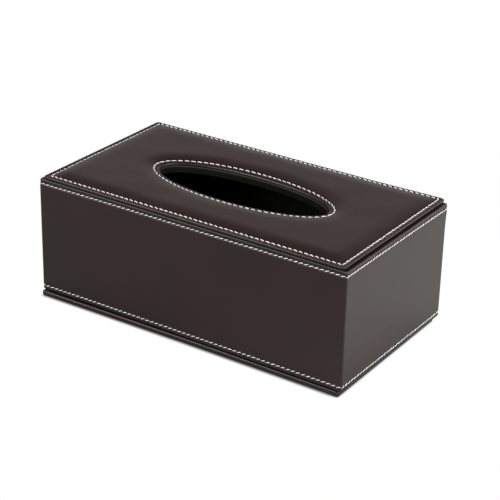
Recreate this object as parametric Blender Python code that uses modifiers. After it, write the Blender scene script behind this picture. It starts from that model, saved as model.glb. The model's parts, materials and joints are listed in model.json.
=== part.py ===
"""Tissue box cover: leather-wrapped board walls, a padded top panel with an oval
opening, and a leather-covered base flap hinged along the back.

Metres, +Z up. The long side runs along X, the front faces -Y, and the origin is
on the surface that the cover stands on, under its middle.
"""
import math

import bmesh
import bpy
import numpy as np
from mathutils import Matrix, Vector

# Walls, outside of their leather
BODY_LENGTH = 0.250
BODY_DEPTH = 0.1326
WALL_HEIGHT = 0.0859
CORNER_RADIUS = 0.003
WALL_EDGE_RADIUS = 0.0015

# Sheet materials and glue lines
LEATHER = 0.0009
WALL_BOARD = 0.003
TOP_BOARD = 0.003
LINING = 0.0005
GLUE_GAP = 0.0003
TURN_IN = 0.012
LEAST_RADIUS = 0.0004
BOARD_EASE = 0.0003

# Sewing: thread rows lying in shallow channels
THREAD = 0.0006
CHANNEL_WIDTH = 0.0016
CHANNEL_DEPTH = 0.0005
THREAD_CLEARANCE = 0.0002
WALL_LOWER_STITCH_INSET = 0.0035
WALL_UPPER_STITCH_INSET = 0.0032

# Base flap, which stands back from the walls by more at its right end
FLAP_LEATHER = 0.0006
FLAP_BOARD = 0.0017
FLAP_CORNER_RADIUS = 0.0015
FLAP_EDGE_RADIUS = 0.0012
FLAP_GAP = 0.0015
FLAP_LEFT_SETBACK = 0.0002
FLAP_RIGHT_SETBACK = 0.0046
FLAP_FRONT_SETBACK = 0.0007

# Leather hinge along the back
HINGE_CLEARANCE = 0.0003
FOLD_GAP = 0.0003
HINGE_RECESS = 0.0001

# Padded top panel, glued on a little to the right of the middle
PANEL_END_INSET = 0.0033
PANEL_SIDE_INSET = 0.0006
PANEL_SHIFT = 0.0009
PANEL_CORNER_RADIUS = 0.002
PANEL_EDGE = 0.002
PANEL_STITCH_HEIGHT = 0.0022
PANEL_CROWN = 0.0016
PANEL_STITCH_INSET = 0.0036
PANEL_HEM = 0.010

# Oval opening, at the rolled rim of the panel
OPENING_LENGTH = 0.1378
OPENING_WIDTH = 0.0478
OPENING_STITCH_INSET = 0.004
OPENING_HEM = 0.008
BOARD_RIM_LIP = 0.0012
COLLAR_FOLD = 0.003

# Magnets in the front edge
MAGNET_LENGTH = 0.020
MAGNET_WIDTH = 0.005
MAGNET_SPACING = 0.130
MAGNET_CLEARANCE = 0.0003
MAGNET_MARGIN = 0.001
CUT_OVERRUN = 0.001

# How finely the round stretches are stepped
CORNER_STEPS = 3
EDGE_STEPS = 3
HEM_STEPS = 4
ROLL_STEPS = 2
INNER_STEPS = 2
OVAL_CUT_SIDES = 48
THREAD_RESOLUTION = 1
SMOOTH_ANGLE = math.radians(35)
EASE_ANGLE = math.radians(60)

# Stations round the panel in one quarter: on the short side, then the long side,
# as shares of the straight half-lengths
SHORT_SIDE_SHARES = (0.22, 0.62)
LONG_SIDE_SHARES = (0.80, 0.56, 0.34, 0.12)
PANEL_CORNER_STEPS = 2

# Pad: share of the way from the border to the opening, and share of the crown
PAD_ROW_SHARES = ((0.10, 0.46), (0.24, 0.88), (0.50, 1.0), (0.76, 0.88), (0.90, 0.46))

# Places that follow from the sizes above
SKIN = LEATHER + GLUE_GAP
BOARD_INNER_INSET = SKIN + WALL_BOARD
LINING_INSET = BOARD_INNER_INSET + GLUE_GAP
LINING_INNER_INSET = LINING_INSET + LINING
FLAP_THICKNESS = 2 * (FLAP_LEATHER + GLUE_GAP) + FLAP_BOARD
WALL_BOTTOM = FLAP_THICKNESS + FLAP_GAP
WALL_TOP = WALL_BOTTOM + WALL_HEIGHT
FOLD_HEIGHT = FLAP_THICKNESS + FLAP_GAP / 2
PANEL_BOTTOM = WALL_TOP + GLUE_GAP
BOARD_BOTTOM = WALL_BOTTOM + SKIN
BOARD_TOP = WALL_TOP - SKIN
TOP_BOARD_BOTTOM = BOARD_TOP - TOP_BOARD
TOP_LINING_BOTTOM = TOP_BOARD_BOTTOM - GLUE_GAP - LINING
LINING_BOTTOM = WALL_BOTTOM + TURN_IN + GLUE_GAP
CHANNEL_SLOPE = math.atan2(CHANNEL_DEPTH, CHANNEL_WIDTH / 2)
THREAD_LIFT = (THREAD / 2 + THREAD_CLEARANCE) / math.cos(CHANNEL_SLOPE) - CHANNEL_DEPTH

HINGE_PLACE = Vector((0, BODY_DEPTH / 2, FOLD_HEIGHT))
FLAP_LENGTH = BODY_LENGTH - FLAP_LEFT_SETBACK - FLAP_RIGHT_SETBACK
FLAP_DEPTH = BODY_DEPTH - FLAP_FRONT_SETBACK - HINGE_CLEARANCE
FLAP_CENTRE_X = (FLAP_LEFT_SETBACK - FLAP_RIGHT_SETBACK) / 2
FLAP_CENTRE_Y = (FLAP_FRONT_SETBACK - HINGE_CLEARANCE) / 2
FLAP_SKIN = FLAP_LEATHER + GLUE_GAP

# Finishes: base colour (linear), roughness, metallic
FINISHES = {
    "leather": ((0.038, 0.027, 0.024, 1.0), 0.42, 0.0),
    "thread": ((0.80, 0.78, 0.74, 1.0), 0.70, 0.0),
    "board": ((0.24, 0.19, 0.14, 1.0), 0.85, 0.0),
    "lining": ((0.008, 0.008, 0.009, 1.0), 0.95, 0.0),
    "foam": ((0.55, 0.52, 0.42, 1.0), 0.95, 0.0),
    "magnet": ((0.60, 0.60, 0.62, 1.0), 0.30, 1.0),
}


def clear_scene():
    """Remove every object that the file holds."""
    for obj in list(bpy.data.objects):
        bpy.data.objects.remove(obj, do_unlink=True)


def new_collection(name):
    """Make a collection in the scene."""
    collection = bpy.data.collections.new(name)
    bpy.context.scene.collection.children.link(collection)
    return collection


def new_material(node, finish):
    """Make one node's own material from a named finish."""
    colour, roughness, metallic = FINISHES[finish]
    material = bpy.data.materials.new(node + "_" + finish)
    material.use_nodes = True
    shader = material.node_tree.nodes["Principled BSDF"]
    shader.inputs["Base Color"].default_value = colour
    shader.inputs["Roughness"].default_value = roughness
    shader.inputs["Metallic"].default_value = metallic
    material.diffuse_color = colour
    return material


def new_empty(name, place):
    """Make an empty that carries the pieces of one body."""
    empty = bpy.data.objects.new(name, None)
    empty.location = place
    PARTS.objects.link(empty)
    return empty


def carry(obj, finish, parent, place):
    """Name a piece's material, hang it on its body and put it in its place."""
    obj.data.materials.clear()
    obj.data.materials.append(new_material(obj.name, finish))
    obj.parent = parent
    obj.location = Vector(place) - parent.location
    return obj


def smooth(mesh):
    """Shade the round stretches smooth and keep the real edges sharp."""
    mesh.shade_smooth()
    mesh.set_sharp_from_angle(angle=SMOOTH_ANGLE)


def arc(centre, radius, start_degrees, end_degrees, steps):
    """Points of a profile's round stretch, both ends included."""
    angles = np.radians(np.linspace(start_degrees, end_degrees, steps + 1))
    points = np.column_stack([np.cos(angles), np.sin(angles)]) * radius
    return [tuple(point) for point in points + np.array(centre)]


def close_quarter(quarter):
    """Mirror the points of the +X +Y quarter over both axes into a full loop."""
    back = quarter[::-1]
    left = back * np.array([-1, 1])
    right = back * np.array([1, -1])
    return np.concatenate([quarter, left, -quarter, right])


def corner_points(half_x, half_y, radius, steps):
    """The rounded corner of a rectangle, from its +X side to its +Y side."""
    centre = (half_x - radius, half_y - radius)
    return np.array(arc(centre, radius, 0, 90, steps))


def wall_loop(inset, height):
    """A rounded rectangle that lies inset from the outside of the walls."""
    half_x = BODY_LENGTH / 2 - inset
    half_y = BODY_DEPTH / 2 - inset
    radius = max(CORNER_RADIUS - inset, LEAST_RADIUS)
    loop = close_quarter(corner_points(half_x, half_y, radius, CORNER_STEPS))
    return np.column_stack([loop, np.full(len(loop), height)])


def flap_loop(inset, height):
    """A rounded rectangle that lies inset from the flap's edge."""
    half_x = FLAP_LENGTH / 2 - inset
    half_y = FLAP_DEPTH / 2 - inset
    radius = max(FLAP_CORNER_RADIUS - inset, LEAST_RADIUS)
    loop = close_quarter(corner_points(half_x, half_y, radius, CORNER_STEPS))
    return np.column_stack([loop, np.full(len(loop), height)])


def station_loop(half_x, half_y, radius, centre_x, height):
    """A rounded rectangle at the stations that the panel shares with its opening."""
    short_side = [(half_x, share * (half_y - radius)) for share in SHORT_SIDE_SHARES]
    long_side = [(share * (half_x - radius), half_y) for share in LONG_SIDE_SHARES]
    corner = corner_points(half_x, half_y, radius, PANEL_CORNER_STEPS)
    loop = close_quarter(np.concatenate([short_side, corner, long_side]))
    loop += np.array([centre_x, 0])
    return np.column_stack([loop, np.full(len(loop), height)])


def border_loop(inset, height):
    """The panel's outline, inset from its edge."""
    half_x = BODY_LENGTH / 2 - PANEL_END_INSET - inset
    half_y = BODY_DEPTH / 2 - PANEL_SIDE_INSET - inset
    radius = max(PANEL_CORNER_RADIUS - inset, LEAST_RADIUS)
    return station_loop(half_x, half_y, radius, PANEL_SHIFT, height)


def inside_loop(inset, height):
    """The outline of a sheet inside of the walls, inset from their outside."""
    half_x = BODY_LENGTH / 2 - inset
    half_y = BODY_DEPTH / 2 - inset
    return station_loop(half_x, half_y, LEAST_RADIUS, 0, height)


def opening_loop(outset, height):
    """The opening's oval, outset from its rim, at the panel's stations."""
    count = len(SHORT_SIDE_SHARES) + PANEL_CORNER_STEPS + 1 + len(LONG_SIDE_SHARES)
    angles = (np.arange(count) + 0.5) * math.pi / (2 * count)
    quarter = np.column_stack([
        (OPENING_LENGTH / 2 + outset) * np.cos(angles),
        (OPENING_WIDTH / 2 + outset) * np.sin(angles),
    ])
    loop = close_quarter(quarter)
    loop += np.array([PANEL_SHIFT, 0])
    return np.column_stack([loop, np.full(len(loop), height)])


def pad_loop(share, height):
    """A loop part of the way from the border's stitches to the opening's."""
    border = border_loop(PANEL_STITCH_INSET + CHANNEL_WIDTH / 2, height)
    opening = opening_loop(OPENING_STITCH_INSET + CHANNEL_WIDTH / 2, height)
    return border * (1 - share) + opening * share


def loft(name, loops, ring):
    """Skin loops of equal count. A ring joins the last loop to the first one,
    and any other loft is capped at both ends."""
    shape = bmesh.new()
    rows = [[shape.verts.new(point) for point in loop] for loop in loops]
    pairs = list(zip(rows, rows[1:]))
    if ring:
        pairs.append((rows[-1], rows[0]))
    for near, far in pairs:
        for k in range(len(near)):
            shape.faces.new((near[k - 1], near[k], far[k], far[k - 1]))
    if not ring:
        shape.faces.new(rows[0])
        shape.faces.new(rows[-1])
    bmesh.ops.recalc_face_normals(shape, faces=shape.faces)
    mesh = bpy.data.meshes.new(name)
    shape.to_mesh(mesh)
    shape.free()
    smooth(mesh)
    obj = bpy.data.objects.new(name, mesh)
    PARTS.objects.link(obj)
    return obj


def block(name, low, high, collection):
    """A box between two corners, with its origin at its middle."""
    low = Vector(low)
    high = Vector(high)
    bpy.ops.mesh.primitive_cube_add(size=1)
    obj = bpy.context.object
    obj.name = name
    obj.data.name = name
    obj.data.transform(Matrix.Diagonal((*(high - low), 1)))
    obj.location = (low + high) / 2
    for owner in obj.users_collection:
        owner.objects.unlink(obj)
    collection.objects.link(obj)
    return obj


def hide_guide(obj):
    """Mark a cutter or a joined-in shape as a guide and not a piece."""
    obj.hide_render = True
    obj.display_type = "WIRE"
    return obj


def boolean(obj, guide, operation):
    """Cut a guide out of a piece, or join it in."""
    modifier = obj.modifiers.new(guide.name, "BOOLEAN")
    modifier.operation = operation
    modifier.solver = "EXACT"
    modifier.object = hide_guide(guide)


def thread_row(name, loop, parent, place):
    """One row of sewing thread, a closed round cord through the given loop."""
    curve = bpy.data.curves.new(name, "CURVE")
    curve.dimensions = "3D"
    curve.bevel_depth = THREAD / 2
    curve.bevel_resolution = THREAD_RESOLUTION
    curve.use_fill_caps = True
    spline = curve.splines.new("POLY")
    spline.points.add(len(loop) - 1)
    for point, place_on_row in zip(spline.points, loop):
        point.co = (*place_on_row, 1)
    spline.use_cyclic_u = True
    obj = bpy.data.objects.new(name, curve)
    PARTS.objects.link(obj)
    return carry(obj, "thread", parent, place)


def wall_leather(parent):
    """The wrap round the four walls: turned in under them and over their top,
    with a stitch channel near each edge and the hinge's upper skirt behind."""
    edge = WALL_EDGE_RADIUS
    inner = edge - LEATHER
    inside = LINING_INSET + LEATHER
    half_channel = CHANNEL_WIDTH / 2
    top = WALL_HEIGHT
    low_stitch = WALL_LOWER_STITCH_INSET
    high_stitch = top - WALL_UPPER_STITCH_INSET
    profile = [(inside, TURN_IN)]
    profile += arc((inside - edge, edge), edge, 0, -90, EDGE_STEPS)
    profile += arc((edge, edge), edge, -90, -180, EDGE_STEPS)
    for stitch in (low_stitch, high_stitch):
        profile += [(0, stitch - half_channel), (CHANNEL_DEPTH, stitch), (0, stitch + half_channel)]
    profile += arc((edge, top - edge), edge, 180, 90, EDGE_STEPS)
    profile += [(TURN_IN, top), (TURN_IN, top - LEATHER)]
    profile += arc((edge, top - edge), inner, 90, 180, INNER_STEPS)
    profile += arc((edge, edge), inner, 180, 270, INNER_STEPS)
    profile += arc((inside - edge, edge), inner, -90, 0, INNER_STEPS)
    profile += [(LINING_INSET, TURN_IN)]
    obj = loft("wall_leather", [wall_loop(*point) for point in profile], ring=True)
    carry(obj, "leather", parent, (0, 0, WALL_BOTTOM))

    skirt_x = BODY_LENGTH / 2 - CORNER_RADIUS
    skirt_top = (edge + low_stitch - half_channel) / 2
    skirt = block(
        "upper_hinge_skirt",
        (-skirt_x, BODY_DEPTH / 2 - LEATHER + HINGE_RECESS, FOLD_HEIGHT + FOLD_GAP / 2),
        (skirt_x, BODY_DEPTH / 2 - HINGE_RECESS, WALL_BOTTOM + skirt_top),
        GUIDES,
    )
    boolean(obj, skirt, "UNION")
    return obj


def round_uprights(obj, radius, picked):
    """Round a box's upright edges, those whose corners the given test picks."""
    shape = bmesh.new()
    shape.from_mesh(obj.data)
    uprights = [
        edge for edge in shape.edges
        if edge.verts[0].co.xy == edge.verts[1].co.xy and picked(edge.verts[0].co)
    ]
    bmesh.ops.bevel(
        shape,
        geom=uprights,
        offset=radius,
        segments=CORNER_STEPS,
        profile=0.5,
        affect="EDGES",
    )
    shape.to_mesh(obj.data)
    shape.free()


def ease_edges(obj):
    """Take the sharpness off a board's edges, so that they don't cut the leather."""
    modifier = obj.modifiers.new("eased_edges", "BEVEL")
    modifier.width = BOARD_EASE
    modifier.segments = 1
    modifier.limit_method = "ANGLE"
    modifier.angle_limit = EASE_ANGLE


def long_wall_board(name, side, parent):
    """A front or back board, full length, its outer upright edges rounded to
    follow the leather round the corner. side is -1 in front and 1 behind."""
    half_x = BODY_LENGTH / 2 - SKIN
    faces = sorted(side * (BODY_DEPTH / 2 - inset) for inset in (SKIN, BOARD_INNER_INSET))
    obj = block(name, (-half_x, faces[0], BOARD_BOTTOM), (half_x, faces[1], BOARD_TOP), PARTS)
    round_uprights(obj, CORNER_RADIUS - SKIN, lambda corner: side * corner.y > 0)
    ease_edges(obj)
    return carry(obj, "board", parent, obj.location)


def end_wall_board(name, side, parent):
    """A left or right board, butted between the long ones."""
    half_y = BODY_DEPTH / 2 - BOARD_INNER_INSET - GLUE_GAP
    faces = sorted(side * (BODY_LENGTH / 2 - inset) for inset in (SKIN, BOARD_INNER_INSET))
    obj = block(name, (faces[0], -half_y, BOARD_BOTTOM), (faces[1], half_y, BOARD_TOP), PARTS)
    ease_edges(obj)
    return carry(obj, "board", parent, obj.location)


def top_board(parent):
    """The structural top, let in between the wall boards, with its oval hole
    standing a little inside of the panel's rim."""
    half_x = BODY_LENGTH / 2 - LINING_INSET
    half_y = BODY_DEPTH / 2 - LINING_INSET
    obj = block(
        "top_board",
        (-half_x, -half_y, TOP_BOARD_BOTTOM),
        (half_x, half_y, BOARD_TOP),
        PARTS,
    )
    hole_lip = BOARD_RIM_LIP - GLUE_GAP - LINING
    bpy.ops.mesh.primitive_cylinder_add(vertices=OVAL_CUT_SIDES, radius=1, depth=1)
    cutter = bpy.context.object
    cutter.name = "top_board_hole"
    cutter.data.transform(Matrix.Diagonal((
        OPENING_LENGTH / 2 - hole_lip,
        OPENING_WIDTH / 2 - hole_lip,
        TOP_BOARD + 2 * CUT_OVERRUN,
        1,
    )))
    cutter.location = (PANEL_SHIFT, 0, (TOP_BOARD_BOTTOM + BOARD_TOP) / 2)
    for owner in cutter.users_collection:
        owner.objects.unlink(cutter)
    GUIDES.objects.link(cutter)
    boolean(obj, cutter, "DIFFERENCE")
    return carry(obj, "board", parent, obj.location)


def top_lining(parent):
    """The lining under the top board, with a collar up through its hole that is
    folded out over the board's rim."""
    inset = LINING_INNER_INSET + GLUE_GAP
    fold_bottom = BOARD_TOP + GLUE_GAP - TOP_LINING_BOTTOM
    fold_top = fold_bottom + LINING
    loops = [
        inside_loop(inset, 0),
        inside_loop(inset, LINING),
        opening_loop(LINING - BOARD_RIM_LIP, LINING),
        opening_loop(LINING - BOARD_RIM_LIP, fold_bottom),
        opening_loop(COLLAR_FOLD - BOARD_RIM_LIP, fold_bottom),
        opening_loop(COLLAR_FOLD - BOARD_RIM_LIP, fold_top),
        opening_loop(-BOARD_RIM_LIP, fold_top),
        opening_loop(-BOARD_RIM_LIP, 0),
    ]
    obj = loft("top_lining", loops, ring=True)
    return carry(obj, "lining", parent, (0, 0, TOP_LINING_BOTTOM))


def wall_linings(parent):
    """Four lining sheets above the leather's turn-in, up to the top lining."""
    top = TOP_LINING_BOTTOM - GLUE_GAP
    half_x = BODY_LENGTH / 2 - LINING_INSET
    half_y = BODY_DEPTH / 2 - LINING_INNER_INSET - GLUE_GAP
    for name, side in (("front_lining", -1), ("back_lining", 1)):
        faces = sorted(
            side * (BODY_DEPTH / 2 - inset) for inset in (LINING_INSET, LINING_INNER_INSET)
        )
        obj = block(name, (-half_x, faces[0], LINING_BOTTOM), (half_x, faces[1], top), PARTS)
        carry(obj, "lining", parent, obj.location)
    for name, side in (("left_lining", -1), ("right_lining", 1)):
        faces = sorted(
            side * (BODY_LENGTH / 2 - inset) for inset in (LINING_INSET, LINING_INNER_INSET)
        )
        obj = block(name, (faces[0], -half_y, LINING_BOTTOM), (faces[1], half_y, top), PARTS)
        carry(obj, "lining", parent, obj.location)


def pad_height(rise_share):
    """Height of the pad's top surface over the panel's underside."""
    return PANEL_STITCH_HEIGHT + PANEL_CROWN * rise_share


def panel_leather(parent):
    """The padded top's leather: hemmed under at its edge and at the opening,
    rolled over both, dipped along both stitch rows and crowned between them."""
    roll = PANEL_EDGE / 2
    inner_roll = roll - LEATHER
    half_channel = CHANNEL_WIDTH / 2
    low = PANEL_STITCH_HEIGHT - CHANNEL_DEPTH
    border = [(PANEL_HEM, 0)]
    border += arc((roll, roll), roll, -90, -270, HEM_STEPS)
    border += [
        (PANEL_STITCH_INSET - half_channel, PANEL_STITCH_HEIGHT),
        (PANEL_STITCH_INSET, low),
        (PANEL_STITCH_INSET + half_channel, PANEL_STITCH_HEIGHT),
    ]
    opening = [
        (OPENING_STITCH_INSET + half_channel, PANEL_STITCH_HEIGHT),
        (OPENING_STITCH_INSET, low),
        (OPENING_STITCH_INSET - half_channel, PANEL_STITCH_HEIGHT),
    ]
    opening += arc((roll, roll), roll, 90, 270, HEM_STEPS)
    opening += [(OPENING_HEM, 0), (OPENING_HEM, LEATHER)]
    opening += arc((roll, roll), inner_roll, 270, 90, ROLL_STEPS)
    opening += [(OPENING_STITCH_INSET, PANEL_STITCH_HEIGHT - LEATHER)]
    border_back = [(PANEL_STITCH_INSET, PANEL_STITCH_HEIGHT - LEATHER)]
    border_back += arc((roll, roll), inner_roll, 90, 270, ROLL_STEPS)
    border_back += [(PANEL_HEM, LEATHER)]

    loops = [border_loop(*point) for point in border]
    loops += [pad_loop(share, pad_height(rise)) for share, rise in PAD_ROW_SHARES]
    loops += [opening_loop(*point) for point in opening]
    loops += [
        pad_loop(share, pad_height(rise) - LEATHER) for share, rise in reversed(PAD_ROW_SHARES)
    ]
    loops += [border_loop(*point) for point in border_back]
    obj = loft("panel_leather", loops, ring=True)
    return carry(obj, "leather", parent, (0, 0, PANEL_BOTTOM))


def panel_board(parent):
    """The panel's stiffener, lying inside of the hems and down in the recess
    that the wall leather's turn-in leaves over the top board."""
    recess = TURN_IN - min(PANEL_SIDE_INSET, PANEL_END_INSET - abs(PANEL_SHIFT))
    inset = max(PANEL_HEM, recess) + GLUE_GAP
    outset = OPENING_HEM + GLUE_GAP
    bottom = BOARD_TOP + GLUE_GAP - PANEL_BOTTOM
    loops = [
        border_loop(inset, bottom),
        border_loop(inset, LEATHER),
        opening_loop(outset, LEATHER),
        opening_loop(outset, bottom),
    ]
    obj = loft("panel_board", loops, ring=True)
    return carry(obj, "board", parent, (0, 0, PANEL_BOTTOM))


def panel_foam(parent):
    """The pad between the stiffener and the panel's leather."""
    bottom = LEATHER + GLUE_GAP
    loops = [pad_loop(PAD_ROW_SHARES[0][0], bottom)]
    loops += [
        pad_loop(share, pad_height(rise) - LEATHER - GLUE_GAP) for share, rise in PAD_ROW_SHARES
    ]
    loops.append(pad_loop(PAD_ROW_SHARES[-1][0], bottom))
    obj = loft("panel_foam", loops, ring=True)
    return carry(obj, "foam", parent, (0, 0, PANEL_BOTTOM))


def stitching(parent):
    """The four rows of contrast thread."""
    thread_row(
        "wall_lower_stitching",
        wall_loop(-THREAD_LIFT, WALL_LOWER_STITCH_INSET),
        parent,
        (0, 0, WALL_BOTTOM),
    )
    thread_row(
        "wall_upper_stitching",
        wall_loop(-THREAD_LIFT, WALL_HEIGHT - WALL_UPPER_STITCH_INSET),
        parent,
        (0, 0, WALL_BOTTOM),
    )
    thread_row(
        "panel_border_stitching",
        border_loop(PANEL_STITCH_INSET, PANEL_STITCH_HEIGHT + THREAD_LIFT),
        parent,
        (0, 0, PANEL_BOTTOM),
    )
    thread_row(
        "opening_stitching",
        opening_loop(OPENING_STITCH_INSET, PANEL_STITCH_HEIGHT + THREAD_LIFT),
        parent,
        (0, 0, PANEL_BOTTOM),
    )


def magnet_pair(prefix, magnet, pocket, board, parent):
    """A left and a right magnet, each in its pocket in a board. Magnet and pocket
    are given by their low and high corners, about x = 0."""
    for name, side in (("left", -1), ("right", 1)):
        shift = Vector((side * MAGNET_SPACING / 2, 0, 0))
        low, high = (Vector(corner) + shift for corner in magnet)
        obj = block(prefix + "_magnet_" + name, low, high, PARTS)
        carry(obj, "magnet", parent, obj.location)
        low, high = (Vector(corner) + shift for corner in pocket)
        boolean(board, block(prefix + "_pocket_" + name, low, high, GUIDES), "DIFFERENCE")


def wall_magnets(board, parent):
    """Two magnets in the bottom edge of the front board, as thick as it is."""
    half = MAGNET_LENGTH / 2
    pocket_half = half + MAGNET_CLEARANCE
    outer = SKIN - BODY_DEPTH / 2
    inner = outer + WALL_BOARD
    top = BOARD_BOTTOM + MAGNET_WIDTH
    magnet = ((-half, outer, BOARD_BOTTOM), (half, inner, top))
    pocket = (
        (-pocket_half, outer - CUT_OVERRUN, BOARD_BOTTOM - CUT_OVERRUN),
        (pocket_half, inner + CUT_OVERRUN, top + MAGNET_CLEARANCE),
    )
    magnet_pair("wall", magnet, pocket, board, parent)


def flap_board(parent):
    """The flap's stiff board, inside of its leather."""
    half_x = FLAP_LENGTH / 2 - FLAP_SKIN
    half_y = FLAP_DEPTH / 2 - FLAP_SKIN
    obj = block(
        "flap_board",
        (FLAP_CENTRE_X - half_x, FLAP_CENTRE_Y - half_y, FLAP_SKIN),
        (FLAP_CENTRE_X + half_x, FLAP_CENTRE_Y + half_y, FLAP_SKIN + FLAP_BOARD),
        PARTS,
    )
    round_uprights(obj, FLAP_CORNER_RADIUS - FLAP_SKIN, lambda corner: True)
    ease_edges(obj)
    return carry(obj, "board", parent, obj.location)


def flap_magnets(board, parent):
    """Two magnets let into the flap's board behind its front edge, as thick as it is."""
    half = MAGNET_LENGTH / 2
    pocket_half = half + MAGNET_CLEARANCE
    front = FLAP_CENTRE_Y - FLAP_DEPTH / 2 + FLAP_SKIN + MAGNET_MARGIN
    back = front + MAGNET_WIDTH
    top = FLAP_SKIN + FLAP_BOARD
    magnet = ((-half, front, FLAP_SKIN), (half, back, top))
    pocket = (
        (-pocket_half, front - MAGNET_CLEARANCE, FLAP_SKIN - CUT_OVERRUN),
        (pocket_half, back + MAGNET_CLEARANCE, top + CUT_OVERRUN),
    )
    magnet_pair("flap", magnet, pocket, board, parent)


def flap_leather(parent):
    """The flap's cover: under the board, round its edges and turned in on top,
    with the hinge's lower skirt behind."""
    edge = FLAP_EDGE_RADIUS
    inner = edge - FLAP_LEATHER
    top = FLAP_THICKNESS
    profile = arc((edge, edge), edge, -90, -180, EDGE_STEPS)
    profile += arc((edge, top - edge), edge, 180, 90, EDGE_STEPS)
    profile += [(TURN_IN, top), (TURN_IN, top - FLAP_LEATHER)]
    profile += arc((edge, top - edge), inner, 90, 180, INNER_STEPS)
    profile += arc((edge, edge), inner, 180, 270, INNER_STEPS)
    obj = loft("flap_leather", [flap_loop(*point) for point in profile], ring=False)
    carry(obj, "leather", parent, (FLAP_CENTRE_X, FLAP_CENTRE_Y, 0))

    skirt_x = FLAP_LENGTH / 2 - FLAP_CORNER_RADIUS
    back = FLAP_CENTRE_Y + FLAP_DEPTH / 2
    skirt = block(
        "lower_hinge_skirt",
        (FLAP_CENTRE_X - skirt_x, back - FLAP_LEATHER + HINGE_RECESS, top / 2),
        (FLAP_CENTRE_X + skirt_x, back - HINGE_RECESS, FOLD_HEIGHT - FOLD_GAP / 2),
        GUIDES,
    )
    boolean(obj, skirt, "UNION")
    return obj


def flap_lining(parent):
    """The lining on the flap's upper face, inside of the leather's turn-in."""
    half_x = FLAP_LENGTH / 2 - TURN_IN - GLUE_GAP
    half_y = FLAP_DEPTH / 2 - TURN_IN - GLUE_GAP
    bottom = FLAP_SKIN + FLAP_BOARD + GLUE_GAP
    obj = block(
        "flap_lining",
        (FLAP_CENTRE_X - half_x, FLAP_CENTRE_Y - half_y, bottom),
        (FLAP_CENTRE_X + half_x, FLAP_CENTRE_Y + half_y, bottom + LINING),
        PARTS,
    )
    return carry(obj, "lining", parent, obj.location)


def build_cover(body):
    """The walls and the top, which stay where they are."""
    front = long_wall_board("front_board", -1, body)
    long_wall_board("back_board", 1, body)
    end_wall_board("left_board", -1, body)
    end_wall_board("right_board", 1, body)
    top_board(body)
    wall_leather(body)
    wall_linings(body)
    top_lining(body)
    wall_magnets(front, body)
    panel_leather(body)
    panel_board(body)
    panel_foam(body)
    stitching(body)


def build_flap(hinge):
    """The base flap, which swings about the leather fold along the back."""
    board = flap_board(hinge)
    flap_magnets(board, hinge)
    flap_leather(hinge)
    flap_lining(hinge)


clear_scene()
PARTS = new_collection("tissue_box_cover")
GUIDES = new_collection("guides")
build_cover(new_empty("cover_body", (0, 0, 0)))
build_flap(new_empty("flap_hinge", HINGE_PLACE))
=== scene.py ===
"""The looks of a tissue box cover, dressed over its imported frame.

The cover is board wrapped in dark brown leather. It has a padded top panel with an oval
opening, four rows of white stitches and a flap below that folds on the leather behind.
Metres throughout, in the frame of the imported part: the long side runs along X, the front
faces -Y and the ground is at z = 0.
"""
import json
import logging
import math
from dataclasses import dataclass, field
from enum import Enum

import bpy
import numpy as np
from mathutils import Matrix, Vector


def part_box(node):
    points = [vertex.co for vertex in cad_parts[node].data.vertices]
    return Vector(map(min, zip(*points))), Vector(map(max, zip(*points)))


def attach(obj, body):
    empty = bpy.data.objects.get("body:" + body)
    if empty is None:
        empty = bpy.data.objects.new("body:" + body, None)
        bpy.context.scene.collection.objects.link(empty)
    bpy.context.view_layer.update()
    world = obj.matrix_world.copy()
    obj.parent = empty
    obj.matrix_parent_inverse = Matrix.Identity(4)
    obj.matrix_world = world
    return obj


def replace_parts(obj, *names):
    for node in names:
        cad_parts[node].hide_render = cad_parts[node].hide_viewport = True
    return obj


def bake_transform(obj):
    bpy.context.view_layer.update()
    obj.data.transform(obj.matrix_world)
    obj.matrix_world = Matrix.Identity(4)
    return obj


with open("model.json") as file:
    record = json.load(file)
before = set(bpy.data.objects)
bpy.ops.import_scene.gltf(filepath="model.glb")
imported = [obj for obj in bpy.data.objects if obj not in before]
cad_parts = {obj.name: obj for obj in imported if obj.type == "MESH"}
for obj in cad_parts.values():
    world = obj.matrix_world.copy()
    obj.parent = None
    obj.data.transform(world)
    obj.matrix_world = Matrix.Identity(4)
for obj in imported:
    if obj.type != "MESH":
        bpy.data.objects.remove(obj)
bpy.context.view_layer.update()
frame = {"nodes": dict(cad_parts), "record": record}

Colour = tuple[float, float, float, float]
# From low, from high, to low, to high.
Span = tuple[float, float, float, float]
Socket = bpy.types.NodeSocket

LOG = logging.getLogger("tissue_box_cover")
COVER = "cover"
FLAP = "flap"
FULL_TURN = 2 * math.pi
# The points' attribute of painted light, from 0 to 1: painted shade in the leather's creases,
# channels and under other parts, and a painted highlight on the liner's fold.
PAINTED_LIGHT = "painted_light"
# How much painted shade the floor of a stitch row's channel gets, as such a share.
CHANNEL_SHADE = 0.5
# Width of the bands that stand for thread in the solids.
CAD_THREAD = 0.0006
# Way from the opening's rim out to its stitches.
OPENING_OUTSET = 0.0040


class Slot(Enum):
    """The record's material slots."""

    LEATHER = "leather"
    THREAD = "thread"
    BOARD = "board"
    LINING = "lining"
    FOAM = "foam"
    MAGNET = "magnet"


class Follows(Enum):
    """What a pattern follows: the object's own space, or the piece's UV map."""

    OBJECT = "Object"
    SURFACE = "UV"


def half_size(node: str) -> tuple[float, float]:
    """Half the width and half the depth of a CAD node."""
    low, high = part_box(node)
    return (high.x - low.x) / 2, (high.y - low.y) / 2


def middle(node: str) -> Vector:
    """Middle of a CAD node's box."""
    low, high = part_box(node)
    return (low + high) / 2


def lowest(node: str) -> float:
    """Height of a CAD node's underside."""
    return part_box(node)[0].z


def highest(node: str) -> float:
    """Height of a CAD node's top."""
    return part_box(node)[1].z


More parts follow.
